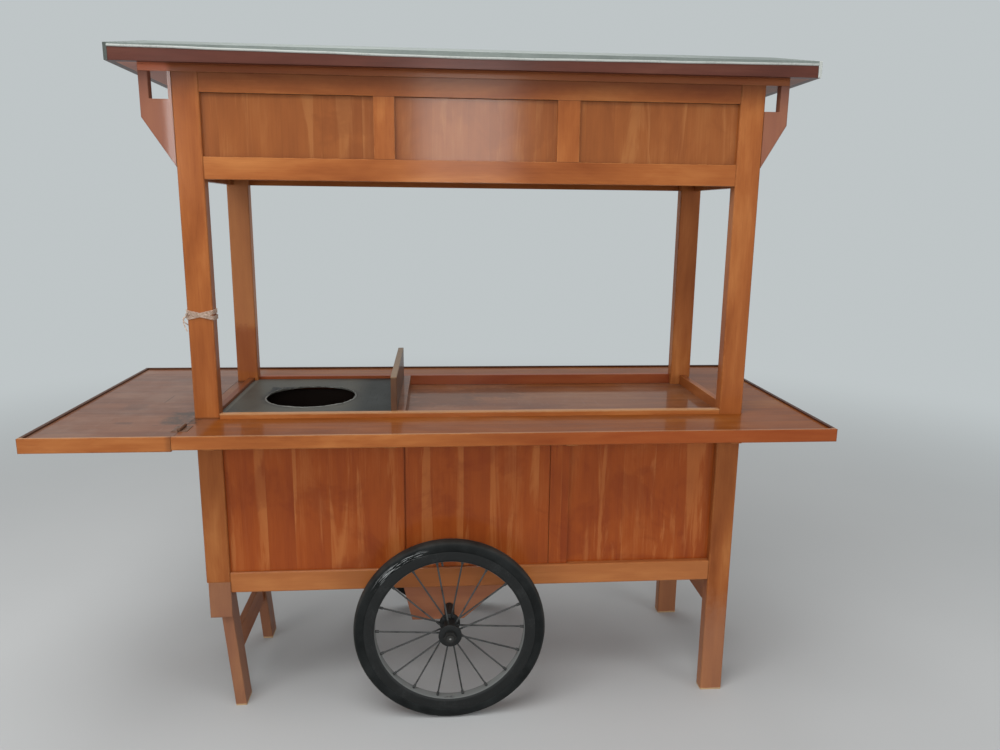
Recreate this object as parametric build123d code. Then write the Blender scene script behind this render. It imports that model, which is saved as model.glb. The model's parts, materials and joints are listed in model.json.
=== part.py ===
"""Varnished teak food cart: a panelled body on two spoked wheels, a serving deck, a canopy and a roof.

The cart stands on its two wheels, on the long posts at its right end and on a folding stand at its
left end. X runs along the cart, Y from the customer's side (-Y) to the vendor's side (+Y) and Z up
from the floor. All sizes are in millimetres.
"""

import math
import os

from build123d import *

# Posts and overall body
BODY_LENGTH = 1624.0
BODY_DEPTH = 545.0
POST_WIDTH = 70.0
POST_DEPTH = 40.0
POST_TOP = 1887.0
EDGE = 2.5

# Deck round the top of the body, and the folding leaf at its left end
DECK_TOP = 937.0
DECK_THICK = 27.0
DECK_OVERHANG = 200.0
RIM_THICK = 10.0
RIM_HEIGHT = 36.0
RIM_RISE = 5.0
LEAF_LENGTH = 389.0
LEAF_RIM_DROP = 4.0
LEAF_GAP = 1.0
SEAM_OUT = 4.0
LEAF_BATTEN_WIDTH = 40.0
HINGE_LENGTH = 60.0
HINGE_FLAP = 22.0
HINGE_Y = 374.0
BEARER_WIDTH = 30.0
BEARER_HEIGHT = 40.0
BEARER_TIP = 9.0
BEARER_FULL = 82.0
BEARER_IN = 17.0

# Well between the posts: sheet-metal stove top on the left, sunk tray on the right
CURB_THICK = 20.0
CURB_RISE = 15.0
CURB_LEFT_IN = 37.0
CURB_RIGHT_IN = 17.0
TRAY_SINK = 18.0
TRAY_THICK = 9.0
STOVE_WIDTH = 504.0
STOVE_SINK = 10.0
STOVE_THICK = 1.5
STOVE_SKIRT = 12.0
HOLE_RIGHT_IN = 268.0
HOLE_FORWARD = 20.0
HOLE_DIAMETER = 282.0
PARTITION_THICK = 18.0
PARTITION_TOP = 1054.0
STRIP_WIDTH = 24.0

# Cabinet under the deck
SILL_BOTTOM = 390.0
SILL_HEIGHT = 65.0
SILL_THICK = 30.0
FRAME_INSET = 3.0
HEAD_HEIGHT = 62.0
PANEL_THICK = 10.0
PANEL_INSET = 9.0
PANEL_LAP = 25.0
SEAM_FROM_POST = 529.0
SEAM_GROOVE = 5.0
STILE_WIDTH = 59.0
STILE_GROOVE = 2.0
RIGHT_PANEL_WIDTH = 455.0
FLOOR_THICK = 12.0

# Sliding doors on the vendor's side, clear of the wheel that stands before them
TRACK_RAIL = 46.0
DOOR_THICK = 10.0
DOOR_PITCH = 18.0
DOOR_OUTER_IN = 12.0
DOOR_LAP = 20.0
DOOR_FRAME = 55.0
DOOR_FIELD_SINK = 4.0
DOOR_PLAY = 0.3
TRACK_SIDE_PLAY = 0.8
TRACK_LOW = 4.0
TRACK_HIGH = 12.0
TRACK_LIFT = 6.0
PULL_WIDTH = 26.0
PULL_HEIGHT = 90.0
PULL_DEPTH = 5.0

# Canopy between the post tops
CANOPY_HEIGHT = 276.0
CANOPY_RAIL = 60.0
CANOPY_TOP_RAIL = 51.0
CANOPY_THICK = 9.0
CANOPY_INSET = 3.0
CANOPY_BOARD = 8.0
CANOPY_LAP = 20.0
CANOPY_END_THICK = 20.0
CANOPY_LEFT_WIDTH = 459.0
CANOPY_CENTRE_WIDTH = 450.0
CANOPY_LEFT_STILE = 57.0
CANOPY_RIGHT_STILE = 63.0
CANOPY_END_RAIL = 60.0

# Roof, whose soffit has a wall plate along each side that caps the posts and brackets
PLATE_HEIGHT = 17.0
ROOF_LEFT_OVERHANG = 149.0
ROOF_RIGHT_OVERHANG = 135.0
ROOF_SIDE_OVERHANG = 41.0
FASCIA_HEIGHT = 42.0
FASCIA_THICK = 20.0
RIDGE_RISE = 66.0
SHEET_THICK = 1.2
SHEET_LIP = 17.0
LIP_LEFT_TRIM = 9.0
LIP_RIGHT_TRIM = 7.0
SHEET_WRAP = 8.0
SOFFIT_THICK = 8.0

# Brackets that carry the roof ends
BRACKET_THICK = 26.0
BRACKET_ARM = 24.0
BRACKET_LEFT_STILE = 9.0
BRACKET_WINDOW = 70.0
BRACKET_LEFT_OUT = 83.0
BRACKET_LEFT_KNEE = 117.0
BRACKET_LEFT_FOOT = 245.0
BRACKET_RIGHT_OUT = 67.0
BRACKET_RIGHT_KNEE = 107.0
BRACKET_RIGHT_FOOT = 224.0

# Twine lashed crosswise round the front left post
LASH_Z = 1240.0
LASH_WIDTH = 13.0
LASH_THICK = 4.0
LASH_TILT = 13.0

# Wheels, axle and hangers
WHEEL_RADIUS = 290.0
WHEEL_X = -80.0
WHEEL_OUT = 73.0
TYRE_SECTION = 44.0
TYRE_DEPTH = 38.0
TREAD_SHOULDER = 0.75
TREAD_CROWN = 0.25
RIM_SECTION = 36.0
RIM_DEPTH = 26.0
SPOKES = 18
SPOKE_THICK = 5.5
SPOKE_SPREAD = 44.0
FLANGE_DIAMETER = 71.0
FLANGE_THICK = 8.0
HUB_DIAMETER = 44.0
HUB_INNER_LENGTH = 38.0
HUB_OUTER_LENGTH = 44.0
AXLE_DIAMETER = 22.0
RUNNING_CLEAR = 0.05
AXLE_END = 4.0
SHOULDER_DIAMETER = 32.0
HUB_GAP = 1.0
NUT_WIDTH = 34.0
NUT_THICK = 10.0
FIT_CLEAR = 0.02
HANGER_IN = 60.0
HANGER_THICK = 25.0
HANGER_TOP_LEFT = 150.0
HANGER_TOP_RIGHT = 205.0
HANGER_BOTTOM_LEFT = 118.0
HANGER_BOTTOM_RIGHT = 46.0
HANGER_BELOW = 40.0

# Folding stand at the left end
BLOCK_WIDTH = 65.0
BLOCK_BOTTOM = 311.0
BLOCK_TOP = 426.0
BLOCK_SHOULDER = 402.0
CHEEK_THICK = 12.0
PIVOT_IN = 47.0
PIVOT_COVER = 4.0
PIVOT_Z = 355.0
PIVOT_DIAMETER = 12.0
LEG_THICK = 33.0
LEG_DEPTH = 67.0
LEG_LEAN = 4.83
STAND_GAP = 1.0
STAND_BACK = 67.0
STRETCHER_BOTTOM = 155.0
STRETCHER_HEIGHT = 70.0

# Right end
END_STRETCHER_BOTTOM = 280.0

half_l = BODY_LENGTH / 2
half_d = BODY_DEPTH / 2
post_in = half_l - POST_WIDTH
bay = half_d - POST_DEPTH
seam_x = -(half_l + SEAM_OUT)
deck_right = half_l + DECK_OVERHANG
deck_half = half_d + DECK_OVERHANG
leaf_left = seam_x - LEAF_GAP - LEAF_LENGTH
deck_under = DECK_TOP - DECK_THICK
rim_top = DECK_TOP + RIM_RISE
rim_bottom = rim_top - RIM_HEIGHT
sill_top = SILL_BOTTOM + SILL_HEIGHT
head_bottom = deck_under - HEAD_HEIGHT
curb_top = DECK_TOP + CURB_RISE
tray_top = DECK_TOP - TRAY_SINK
curb_left = -half_l + CURB_LEFT_IN
curb_right = half_l - CURB_RIGHT_IN
stove_left = curb_left + CURB_THICK
stove_right = stove_left + STOVE_WIDTH
hole_x = stove_right - HOLE_RIGHT_IN
stile_right = post_in - RIGHT_PANEL_WIDTH
stile_left = stile_right - STILE_WIDTH
seam_panel = -post_in + SEAM_FROM_POST
pivot_x = -half_l + PIVOT_IN
wheel_y = half_d + WHEEL_OUT
plate_top = POST_TOP + PLATE_HEIGHT
eaves = plate_top + FASCIA_HEIGHT
canopy_bottom = POST_TOP - CANOPY_HEIGHT
canopy_low = canopy_bottom + CANOPY_RAIL
canopy_high = POST_TOP - CANOPY_TOP_RAIL
bracket_left = -(half_l + BRACKET_LEFT_OUT)
bracket_right = half_l + BRACKET_RIGHT_OUT
door_y = half_d - FRAME_INSET - DOOR_OUTER_IN

# The whole cart is moved so that the middle of its footprint lies on the origin.
SHIFT_X = -(deck_right + leaf_left) / 2

OUT = "parts"
os.makedirs(OUT, exist_ok=True)


def save(name, shape):
    """Place a finished piece in the cart's frame and write it as its own node."""
    placed = Pos(SHIFT_X, 0, 0) * shape
    placed.label = name
    export_step(placed, os.path.join(OUT, name + ".step"))


def slab(x0, x1, y0, y1, z0, z1):
    """Rectangular piece of wood between two corners."""
    return Pos((x0 + x1) / 2, (y0 + y1) / 2, (z0 + z1) / 2) * Box(x1 - x0, y1 - y0, z1 - z0)


def bar(x0, x1, y0, y1, z0, z1, along):
    """Slab whose edges along one axis are eased."""
    piece = slab(x0, x1, y0, y1, z0, z1)
    return chamfer(piece.edges().filter_by(along), EDGE)


def along_y(radius, x, y0, y1, z):
    """Round bar that runs across the cart."""
    return Pos(x, (y0 + y1) / 2, z) * Rot(90, 0, 0) * Cylinder(radius, abs(y1 - y0))


def plate_xz(points, y0, y1):
    """Flat board in the plane of the cart's side, from an outline of x and z."""
    face = make_face(Polyline(*[(x, 0, z) for x, z in points], close=True))
    return Pos(0, y0, 0) * extrude(face, amount=y1 - y0, dir=(0, 1, 0))


def plate_yz(points, x0, x1):
    """Solid along the cart, from an outline of y and z."""
    face = make_face(Polyline(*[(0, y, z) for y, z in points], close=True))
    return Pos(x0, 0, 0) * extrude(face, amount=x1 - x0, dir=(1, 0, 0))


def both_sides(name, make):
    """Write a piece at the front and its mirror image at the back."""
    front = make()
    save(name + "_front", front)
    save(name + "_back", mirror(front, Plane.XZ))


def make_posts():
    """Four corner posts; the right pair reach the floor, the left pair end on the stand blocks."""
    for side, x0, bottom in (("left", -half_l, BLOCK_TOP), ("right", post_in, 0.0)):
        both_sides(
            "post_" + side,
            lambda: bar(x0, x0 + POST_WIDTH, -half_d, -bay, bottom, POST_TOP, Axis.Z),
        )


def door_tracks(z0, z1):
    """Pair of grooves that guide the sliding doors, between two heights."""
    reach = DOOR_THICK / 2 + TRACK_SIDE_PLAY
    length = 2 * half_l
    near, far = door_y, door_y - DOOR_PITCH
    grooves = Pos(0, near, (z0 + z1) / 2) * Box(length, 2 * reach, z1 - z0)
    return grooves + Pos(0, far, (z0 + z1) / 2) * Box(length, 2 * reach, z1 - z0)


def make_sills():
    """Bottom rails between the posts, with the cabinet floor."""
    front = bar(
        -post_in, post_in,
        -half_d + FRAME_INSET, -half_d + FRAME_INSET + SILL_THICK,
        SILL_BOTTOM, sill_top, Axis.X,
    )
    save("sill_front", front)
    back = bar(
        -post_in, post_in,
        half_d - FRAME_INSET - TRACK_RAIL, half_d - FRAME_INSET,
        SILL_BOTTOM, sill_top, Axis.X,
    )
    save("sill_back", back - door_tracks(sill_top - TRACK_LOW, sill_top + 1))
    for side, sign in (("left", -1), ("right", 1)):
        outer = sign * (half_l - FRAME_INSET)
        inner = outer - sign * SILL_THICK
        save(
            "sill_" + side,
            bar(min(outer, inner), max(outer, inner), -bay, bay, SILL_BOTTOM, sill_top, Axis.Y),
        )
    reach_x = half_l - FRAME_INSET - SILL_THICK
    reach_y = half_d - FRAME_INSET - SILL_THICK
    back_y = half_d - FRAME_INSET - TRACK_RAIL
    floor = slab(-reach_x, reach_x, -reach_y, back_y, sill_top - FLOOR_THICK, sill_top)
    floor -= post_corners(sill_top - 2 * FLOOR_THICK, sill_top + 1)
    save("floor_board", floor)


def make_head_frame():
    """Top frame of the cabinet, with cross bearers halved into it that reach out to the deck's rim."""
    front_y, back_y = -half_d + FRAME_INSET, half_d - FRAME_INSET
    frame = slab(-post_in, post_in, front_y, back_y, head_bottom, deck_under)
    frame -= slab(
        -post_in + SILL_THICK, post_in - SILL_THICK,
        front_y + SILL_THICK, back_y - TRACK_RAIL, head_bottom - 1, deck_under + 1,
    )
    half = (
        (deck_half - RIM_THICK, deck_under), (deck_half - RIM_THICK, deck_under - BEARER_TIP),
        (half_d + BEARER_FULL, deck_under - BEARER_HEIGHT),
    )
    bearer = [*half, *((-y, z) for y, z in reversed(half))]
    end = post_in - BEARER_IN
    for x in (-end, stove_right + PARTITION_THICK / 2, (stile_left + stile_right) / 2, end):
        frame += plate_yz(bearer, x - BEARER_WIDTH / 2, x + BEARER_WIDTH / 2)
    save("head_frame", frame - door_tracks(head_bottom - 1, head_bottom + TRACK_HIGH))


def make_front_panels():
    """Boards of the customer's side: a wide grooved one, lapped over a deeper one at the right."""
    face = -half_d + FRAME_INSET
    y0 = face + PANEL_INSET
    z0, z1 = sill_top, head_bottom
    wide = slab(-post_in, stile_right, y0, y0 + PANEL_THICK, z0, z1)
    for x, width in ((seam_panel, SEAM_GROOVE), (stile_left, STILE_GROOVE)):
        wide -= slab(x - width / 2, x + width / 2, y0 - 1, y0 + PANEL_THICK / 2, z0 - 1, z1 + 1)
    save("front_panel_left", wide)
    deep = y0 + PANEL_THICK
    save("front_panel_right", slab(stile_right - PANEL_LAP, post_in, deep, deep + PANEL_THICK, z0, z1))


def make_side_panels():
    """End boards of the cabinet between the front and back posts."""
    for side, sign in (("left", -1), ("right", 1)):
        outer = sign * (half_l - FRAME_INSET - PANEL_INSET)
        inner = outer - sign * PANEL_THICK
        save(
            "side_panel_" + side,
            slab(min(outer, inner), max(outer, inner), -bay, bay, sill_top, deck_under),
        )


def make_doors():
    """Two sliding doors on the vendor's side that pass each other, each with an upright sunk finger pull."""
    z0 = sill_top - TRACK_LOW + DOOR_PLAY
    z1 = head_bottom + TRACK_HIGH - TRACK_LIFT
    for side, sign, track in (("left", -1, door_y), ("right", 1, door_y - DOOR_PITCH)):
        ends = sorted((sign * (post_in - DOOR_PLAY), -sign * DOOR_LAP))
        face = track + DOOR_THICK / 2
        door = slab(ends[0], ends[1], track - DOOR_THICK / 2, face, z0, z1)
        door -= slab(
            ends[0] + DOOR_FRAME, ends[1] - DOOR_FRAME, face - DOOR_FIELD_SINK, face + 1,
            sill_top + DOOR_FRAME, head_bottom - DOOR_FRAME,
        )
        pull_x, pull_z = sign * (post_in - DOOR_FRAME / 2), (z0 + z1) / 2
        door -= slab(pull_x - PULL_WIDTH / 2, pull_x + PULL_WIDTH / 2, face - PULL_DEPTH, face + 1,
                     pull_z - PULL_HEIGHT / 2, pull_z + PULL_HEIGHT / 2)
        save("door_" + side, door)


def make_deck():
    """Deck board round the well, and its rim on the three outer edges."""
    board = slab(seam_x, deck_right - RIM_THICK, -deck_half + RIM_THICK, deck_half - RIM_THICK,
                 deck_under, DECK_TOP)
    board -= slab(curb_left, curb_right, -bay, bay, deck_under - 1, DECK_TOP + 1)
    board -= slab(-post_in, post_in, -half_d, half_d, deck_under - 1, DECK_TOP + 1)
    board -= post_corners(deck_under - 1, DECK_TOP + 1)
    save("deck_board", board)
    rim = slab(seam_x, deck_right, -deck_half, deck_half, rim_bottom, rim_top)
    rim -= slab(seam_x - 1, deck_right - RIM_THICK, -deck_half + RIM_THICK, deck_half - RIM_THICK,
                rim_bottom - 1, rim_top + 1)
    save("deck_rim", rim)


def post_corners(z0, z1):
    """Space taken by the four posts between two heights."""
    corners = slab(-half_l, half_l, -half_d, half_d, z0, z1)
    corners -= slab(-post_in, post_in, -half_d - 1, half_d + 1, z0 - 1, z1 + 1)
    return corners - slab(-half_l - 1, half_l + 1, -bay, bay, z0 - 1, z1 + 1)


def make_well():
    """Curbs, sunk tray, partition and the sheet-metal stove top with its round opening."""
    both_sides(
        "curb",
        lambda: slab(-post_in, post_in, -half_d, -half_d + CURB_THICK, deck_under, curb_top),
    )
    save("curb_left", slab(curb_left, curb_left + CURB_THICK, -bay, bay, deck_under, curb_top))
    save("curb_right", slab(curb_right - CURB_THICK, curb_right, -bay, bay, deck_under, curb_top))
    reach = half_d - CURB_THICK
    part_left = stove_right
    part_right = stove_right + PARTITION_THICK
    tray_left = part_right + STRIP_WIDTH
    save("partition", slab(part_left, part_right, -reach, reach, deck_under, PARTITION_TOP))
    tray_right = curb_right - CURB_THICK
    tray = slab(part_right, tray_right, -reach, reach, tray_top - TRAY_THICK, tray_top)
    tray += slab(part_right, tray_left, -reach, reach, tray_top - TRAY_THICK, curb_top)
    tray -= post_corners(tray_top - 2 * TRAY_THICK, tray_top + 1)
    save("tray_floor", tray)
    top = curb_top - STOVE_SINK
    pan = slab(stove_left, part_left, -reach, reach, top - STOVE_SKIRT, top)
    pan -= slab(stove_left + STOVE_THICK, part_left - STOVE_THICK, -reach + STOVE_THICK,
                reach - STOVE_THICK, top - STOVE_SKIRT - 1, top - STOVE_THICK)
    pan -= post_corners(top - STOVE_SKIRT - 1, top + 1)
    pan -= Pos(hole_x, -HOLE_FORWARD, top) * Cylinder(HOLE_DIAMETER / 2, 2 * STOVE_SKIRT)
    save("stove_top", pan)


def make_leaf():
    """Folding leaf: board, and rim on its outer edges with a batten along the fold."""
    right = seam_x - LEAF_GAP
    board = slab(leaf_left + RIM_THICK, right, -deck_half + RIM_THICK, deck_half - RIM_THICK,
                 deck_under, DECK_TOP)
    save("leaf_board", board)
    low = rim_bottom - LEAF_RIM_DROP
    rim = slab(leaf_left, right, -deck_half, deck_half, low, rim_top)
    rim -= slab(leaf_left + RIM_THICK, right + 1, -deck_half + RIM_THICK, deck_half - RIM_THICK,
                low - 1, rim_top + 1)
    rim += slab(right - LEAF_BATTEN_WIDTH, right, -deck_half + 1, deck_half - 1, rim_bottom, deck_under)
    save("leaf_rim", rim)

    def hinge():
        """Flap let into the deck and the barrel that the leaf turns on, above the seam."""
        barrel_x, barrel_z = seam_x - LEAF_GAP / 2, rim_top
        y0, y1 = -HINGE_Y - HINGE_LENGTH / 2, -HINGE_Y + HINGE_LENGTH / 2
        flap = slab(barrel_x, seam_x + HINGE_FLAP, y0, y1, DECK_TOP, DECK_TOP + 1.5)
        return flap + along_y(RIM_RISE - 2 * RUNNING_CLEAR, barrel_x, y0, y1, barrel_z)

    both_sides("leaf_hinge", hinge)


def canopy_frame(y0):
    """Canopy frame with its three panel openings, which run out to the posts at either end."""
    frame = slab(-post_in, post_in, y0, y0 + CANOPY_THICK, canopy_bottom, POST_TOP)
    first = -post_in + CANOPY_LEFT_WIDTH
    second = first + CANOPY_LEFT_STILE
    third = second + CANOPY_CENTRE_WIDTH
    for left, right in ((-half_l, first), (second, third), (third + CANOPY_RIGHT_STILE, half_l)):
        frame -= slab(left, right, y0 - 1, y0 + CANOPY_THICK + 1, canopy_low, canopy_high)
    return frame


def make_canopy():
    """Framed and panelled canopy between the post tops."""
    y0 = -half_d + CANOPY_INSET
    both_sides("canopy_frame", lambda: canopy_frame(y0))

    def boards():
        """Row of boards held in the rebated back of the frame."""
        return slab(-post_in, post_in, y0 + CANOPY_THICK, y0 + CANOPY_THICK + CANOPY_BOARD,
                    canopy_low - CANOPY_LAP, canopy_high + CANOPY_LAP)

    both_sides("canopy_panel", boards)
    for side, sign in (("left", -1), ("right", 1)):
        outer = sign * (half_l - CANOPY_INSET)
        inner = outer - sign * CANOPY_END_THICK
        end = slab(min(outer, inner), max(outer, inner), -bay, bay, canopy_bottom, plate_top)
        face = sorted((outer + sign, outer - sign * CANOPY_THICK))
        end -= slab(face[0], face[1], -bay + CANOPY_END_RAIL, bay - CANOPY_END_RAIL, canopy_low, canopy_high)
        save("canopy_end_" + side, end)


def make_roof():
    """Fascia with low gable ends, soffit board on its two wall plates, and the folded sheet-metal cover."""
    left, right = -(half_l + ROOF_LEFT_OVERHANG), half_l + ROOF_RIGHT_OVERHANG
    out_y = half_d + ROOF_SIDE_OVERHANG
    ridge = eaves + RIDGE_RISE
    inner_y = out_y - FASCIA_THICK
    gable = ((-out_y, plate_top), (out_y, plate_top), (out_y, eaves), (0, ridge), (-out_y, eaves))
    fascia = plate_yz(gable, left, right)
    fascia -= slab(left + FASCIA_THICK, right - FASCIA_THICK, -inner_y, inner_y, plate_top - 1, ridge + 1)
    save("roof_fascia", fascia)
    soffit = slab(left + FASCIA_THICK, right - FASCIA_THICK, -inner_y, inner_y,
                  plate_top, plate_top + SOFFIT_THICK)
    for y0, y1 in ((-half_d, -bay), (bay, half_d)):
        soffit += slab(bracket_left, bracket_right, y0, y1, POST_TOP, plate_top)
    save("roof_soffit", soffit)
    save("roof_sheet", roof_cover(gable, left, right, out_y, ridge))


def roof_cover(gable, left, right, out_y, ridge):
    """Sheet over the roof, with a lip along each side and folded down over both gable ends."""
    skin, top, edge = out_y + SHEET_THICK, ridge + SHEET_THICK, eaves + SHEET_THICK
    lip, middle = eaves - SHEET_LIP, (left + right) / 2
    whole = ((-skin, plate_top), (skin, plate_top), (skin, edge), (0, top), (-skin, edge))
    cover = plate_yz(whole, left - SHEET_THICK, right + SHEET_THICK)
    cover -= plate_yz(gable, left, right)
    inside = ((left + SHEET_WRAP, plate_top - 1), (right - SHEET_WRAP, plate_top - 1))
    right_end, left_end = (right - SHEET_WRAP, lip + LIP_RIGHT_TRIM), (left + SHEET_WRAP, lip + LIP_LEFT_TRIM)
    return cover - plate_xz([*inside, right_end, (middle, lip), left_end], -skin - 1, skin + 1)


def make_brackets():
    """Pierced brackets between the posts and the roof's wall plates."""
    window = POST_TOP - BRACKET_WINDOW
    for side, sign, out, stile, knee, foot in (
        ("left", -1, -bracket_left, BRACKET_LEFT_STILE, BRACKET_LEFT_KNEE, BRACKET_LEFT_FOOT),
        ("right", 1, bracket_right, 0, BRACKET_RIGHT_KNEE, BRACKET_RIGHT_FOOT),
    ):
        points = ((half_l, POST_TOP - foot), (out, POST_TOP - knee), (out, POST_TOP), (half_l, POST_TOP))
        board = plate_xz([(sign * x, z) for x, z in points], -half_d, -half_d + BRACKET_THICK)
        x0, x1 = sorted((sign * (half_l + stile), sign * (out - BRACKET_ARM)))
        board -= slab(x0, x1, -half_d - 1, -half_d + BRACKET_THICK + 1, window, POST_TOP + 1)
        both_sides("bracket_" + side, lambda: board)


def make_lashing():
    """Two bands of twine that cross on the faces of the front left post."""
    middle = Pos(-half_l + POST_WIDTH / 2, -half_d + POST_DEPTH / 2, LASH_Z)
    band = Box(POST_WIDTH + 2 * LASH_THICK, POST_DEPTH + 2 * LASH_THICK, LASH_WIDTH)
    lashing = middle * Rot(0, LASH_TILT, 0) * band + middle * Rot(0, -LASH_TILT, 0) * band
    lashing -= slab(-half_l, -post_in, -half_d, -bay, LASH_Z - POST_WIDTH, LASH_Z + POST_WIDTH)
    save("post_lashing", lashing)


def make_stand():
    """Folding stand: two leaning legs and a stretcher on a pivot rod through the post blocks."""
    x0, x1 = -half_l + POST_WIDTH - BLOCK_WIDTH, -post_in
    block = slab(x0, x1, -half_d, -bay, BLOCK_BOTTOM, BLOCK_TOP)
    block -= slab(x0 - 1, x1 + 1, -half_d + CHEEK_THICK, -bay + 1, BLOCK_BOTTOM - 1, BLOCK_SHOULDER)
    covered = -half_d + PIVOT_COVER
    hole = along_y(PIVOT_DIAMETER / 2 + FIT_CLEAR, pivot_x, covered, half_d + 1, PIVOT_Z)
    save("stand_block_front", block - hole)
    stand_front = -half_d + CHEEK_THICK + STAND_GAP
    stand_back = half_d - STAND_BACK
    block = slab(x0, x1, bay, half_d, BLOCK_BOTTOM, BLOCK_TOP)
    block += slab(x0, x1, stand_back + STAND_GAP, bay + 1, BLOCK_BOTTOM, SILL_BOTTOM)
    save("stand_block_back", block - hole)
    save("stand_pivot", along_y(PIVOT_DIAMETER / 2, pivot_x, covered, half_d, PIVOT_Z))

    lean = math.radians(LEG_LEAN)
    half_t = LEG_THICK / 2
    running = along_y(PIVOT_DIAMETER / 2 + RUNNING_CLEAR, pivot_x, -half_d, half_d, PIVOT_Z)

    def leg(y0, y1):
        """One leg, cut level with the floor, its top rounded about the pivot."""
        long = PIVOT_Z / math.cos(lean) + LEG_THICK
        stick = slab(-half_t, half_t, y0, y1, -long, 0)
        stick += along_y(half_t, 0, y0, y1, 0)
        stick = Pos(pivot_x, 0, PIVOT_Z) * Rot(0, -LEG_LEAN, 0) * stick
        stick -= slab(-half_l, half_l, -half_d, half_d, -LEG_DEPTH, 0)
        return stick - running

    save("stand_leg_front", leg(stand_front, stand_front + LEG_DEPTH))
    save("stand_leg_back", leg(stand_back - LEG_DEPTH, stand_back))
    mid = PIVOT_Z - STRETCHER_BOTTOM - STRETCHER_HEIGHT / 2
    stretcher = Pos(0, (stand_front + stand_back) / 2, -mid) * Box(
        LEG_THICK * 0.6, stand_back - stand_front - 2 * LEG_DEPTH, STRETCHER_HEIGHT
    )
    save("stand_stretcher", Pos(pivot_x, 0, PIVOT_Z) * Rot(0, -LEG_LEAN, 0) * stretcher)


def make_running_gear():
    """Shouldered axle, hanger boards and nuts under the cabinet floor."""
    under = sill_top - FLOOR_THICK
    foot = WHEEL_RADIUS - HANGER_BELOW

    def hanger():
        """Trapezoid board that carries the axle."""
        y0 = -half_d + HANGER_IN
        outline = (
            (HANGER_TOP_RIGHT, under), (HANGER_TOP_RIGHT, SILL_BOTTOM), (HANGER_BOTTOM_RIGHT, foot),
            (-HANGER_BOTTOM_LEFT, foot), (-HANGER_TOP_LEFT, SILL_BOTTOM), (-HANGER_TOP_LEFT, under),
        )
        board = plate_xz([(WHEEL_X + x, z) for x, z in outline], y0, y0 + HANGER_THICK)
        seat = SHOULDER_DIAMETER / 2 + FIT_CLEAR
        return board - along_y(seat, WHEEL_X, y0 - 1, y0 + HANGER_THICK + 1, WHEEL_RADIUS)

    both_sides("axle_hanger", hanger)
    reach = wheel_y + HUB_OUTER_LENGTH + HUB_GAP + NUT_THICK + AXLE_END
    shoulder = wheel_y - HUB_INNER_LENGTH - HUB_GAP
    axle = along_y(AXLE_DIAMETER / 2, WHEEL_X, -reach, reach, WHEEL_RADIUS)
    save("axle", axle + along_y(SHOULDER_DIAMETER / 2, WHEEL_X, -shoulder, shoulder, WHEEL_RADIUS))

    def nut():
        """Hexagon nut on the axle outside a hub."""
        y0 = -wheel_y - HUB_OUTER_LENGTH - HUB_GAP - NUT_THICK
        hexagon = RegularPolygon(NUT_WIDTH / 2, 6, major_radius=False)
        body = extrude(Pos(WHEEL_X, y0, WHEEL_RADIUS) * Rot(-90, 0, 0) * hexagon, amount=NUT_THICK)
        seat = AXLE_DIAMETER / 2 + FIT_CLEAR
        return body - along_y(seat, WHEEL_X, y0 - 1, y0 + NUT_THICK + 1, WHEEL_RADIUS)

    both_sides("axle_nut", nut)


def ring(section):
    """Ring about the axle from a section of radius and width."""
    face = make_face(Polyline(*[(radius, y, 0) for radius, y in section], close=True))
    return revolve(face, Axis.Y)


def mirrored(section):
    """Closed section from its half on one side of the wheel's middle plane."""
    return section + [(radius, -y) for radius, y in reversed(section)]


def wheel_frame():
    """Hub with a broad outer flange, slender square spokes in two cones and a flat rim, all welded."""
    bore, flange, waist = AXLE_DIAMETER / 2 + RUNNING_CLEAR, FLANGE_DIAMETER / 2, HUB_DIAMETER / 2
    outer, inner = -HUB_OUTER_LENGTH, HUB_INNER_LENGTH
    wheel = ring([
        (bore, outer), (flange, outer), (flange, outer + FLANGE_THICK), (waist, outer + FLANGE_THICK),
        (waist, inner), (bore, inner),
    ])
    rim_outer = WHEEL_RADIUS - TYRE_DEPTH
    rim_inner = rim_outer - RIM_DEPTH
    wheel += ring(mirrored([(rim_inner, RIM_SECTION / 2), (rim_outer, RIM_SECTION / 2)]))
    for index in range(SPOKES):
        side = 1 if index % 2 else -1
        start = Vector(waist - SPOKE_THICK, side * SPOKE_SPREAD / 2, 0)
        run = Vector(rim_inner + RIM_DEPTH / 2, 0, 0) - start
        section = Plane(origin=start, z_dir=run) * Rectangle(SPOKE_THICK, SPOKE_THICK)
        wheel += Rot(0, index * 360 / SPOKES, 0) * extrude(section, amount=run.length)
    return wheel


def tyre():
    """Smooth solid tyre round the rim: flat seat, bulged walls and a rounded tread."""
    seat, crown = WHEEL_RADIUS - TYRE_DEPTH, WHEEL_RADIUS
    half = TYRE_SECTION / 2
    return ring(mirrored([
        (seat, RIM_SECTION / 2), (seat + TYRE_DEPTH / 3, half),
        (crown - TYRE_DEPTH / 4, half * TREAD_SHOULDER), (crown, half * TREAD_CROWN),
    ]))


def make_wheels():
    """The pair of cart wheels."""
    both_sides("wheel", lambda: Pos(WHEEL_X, -wheel_y, WHEEL_RADIUS) * wheel_frame())
    both_sides("tyre", lambda: Pos(WHEEL_X, -wheel_y, WHEEL_RADIUS) * tyre())


def make_end_stretcher():
    """Stretcher between the two floor-length posts."""
    x0 = post_in + (POST_WIDTH - LEG_THICK) / 2
    save(
        "end_stretcher",
        slab(x0, x0 + LEG_THICK, -bay, bay, END_STRETCHER_BOTTOM, END_STRETCHER_BOTTOM + STRETCHER_HEIGHT),
    )


make_posts()
make_sills()
make_head_frame()
make_front_panels()
make_side_panels()
make_doors()
make_deck()
make_well()
make_leaf()
make_canopy()
make_roof()
make_brackets()
make_lashing()
make_stand()
make_running_gear()
make_wheels()
make_end_stretcher()
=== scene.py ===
"""Looks of a varnished teak food pushcart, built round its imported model.

Every piece is in metres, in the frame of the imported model: X along the cart from the folding leaf to
the fixed end, Y from the customer's side to the vendor's side, Z up from the floor.
"""

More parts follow.
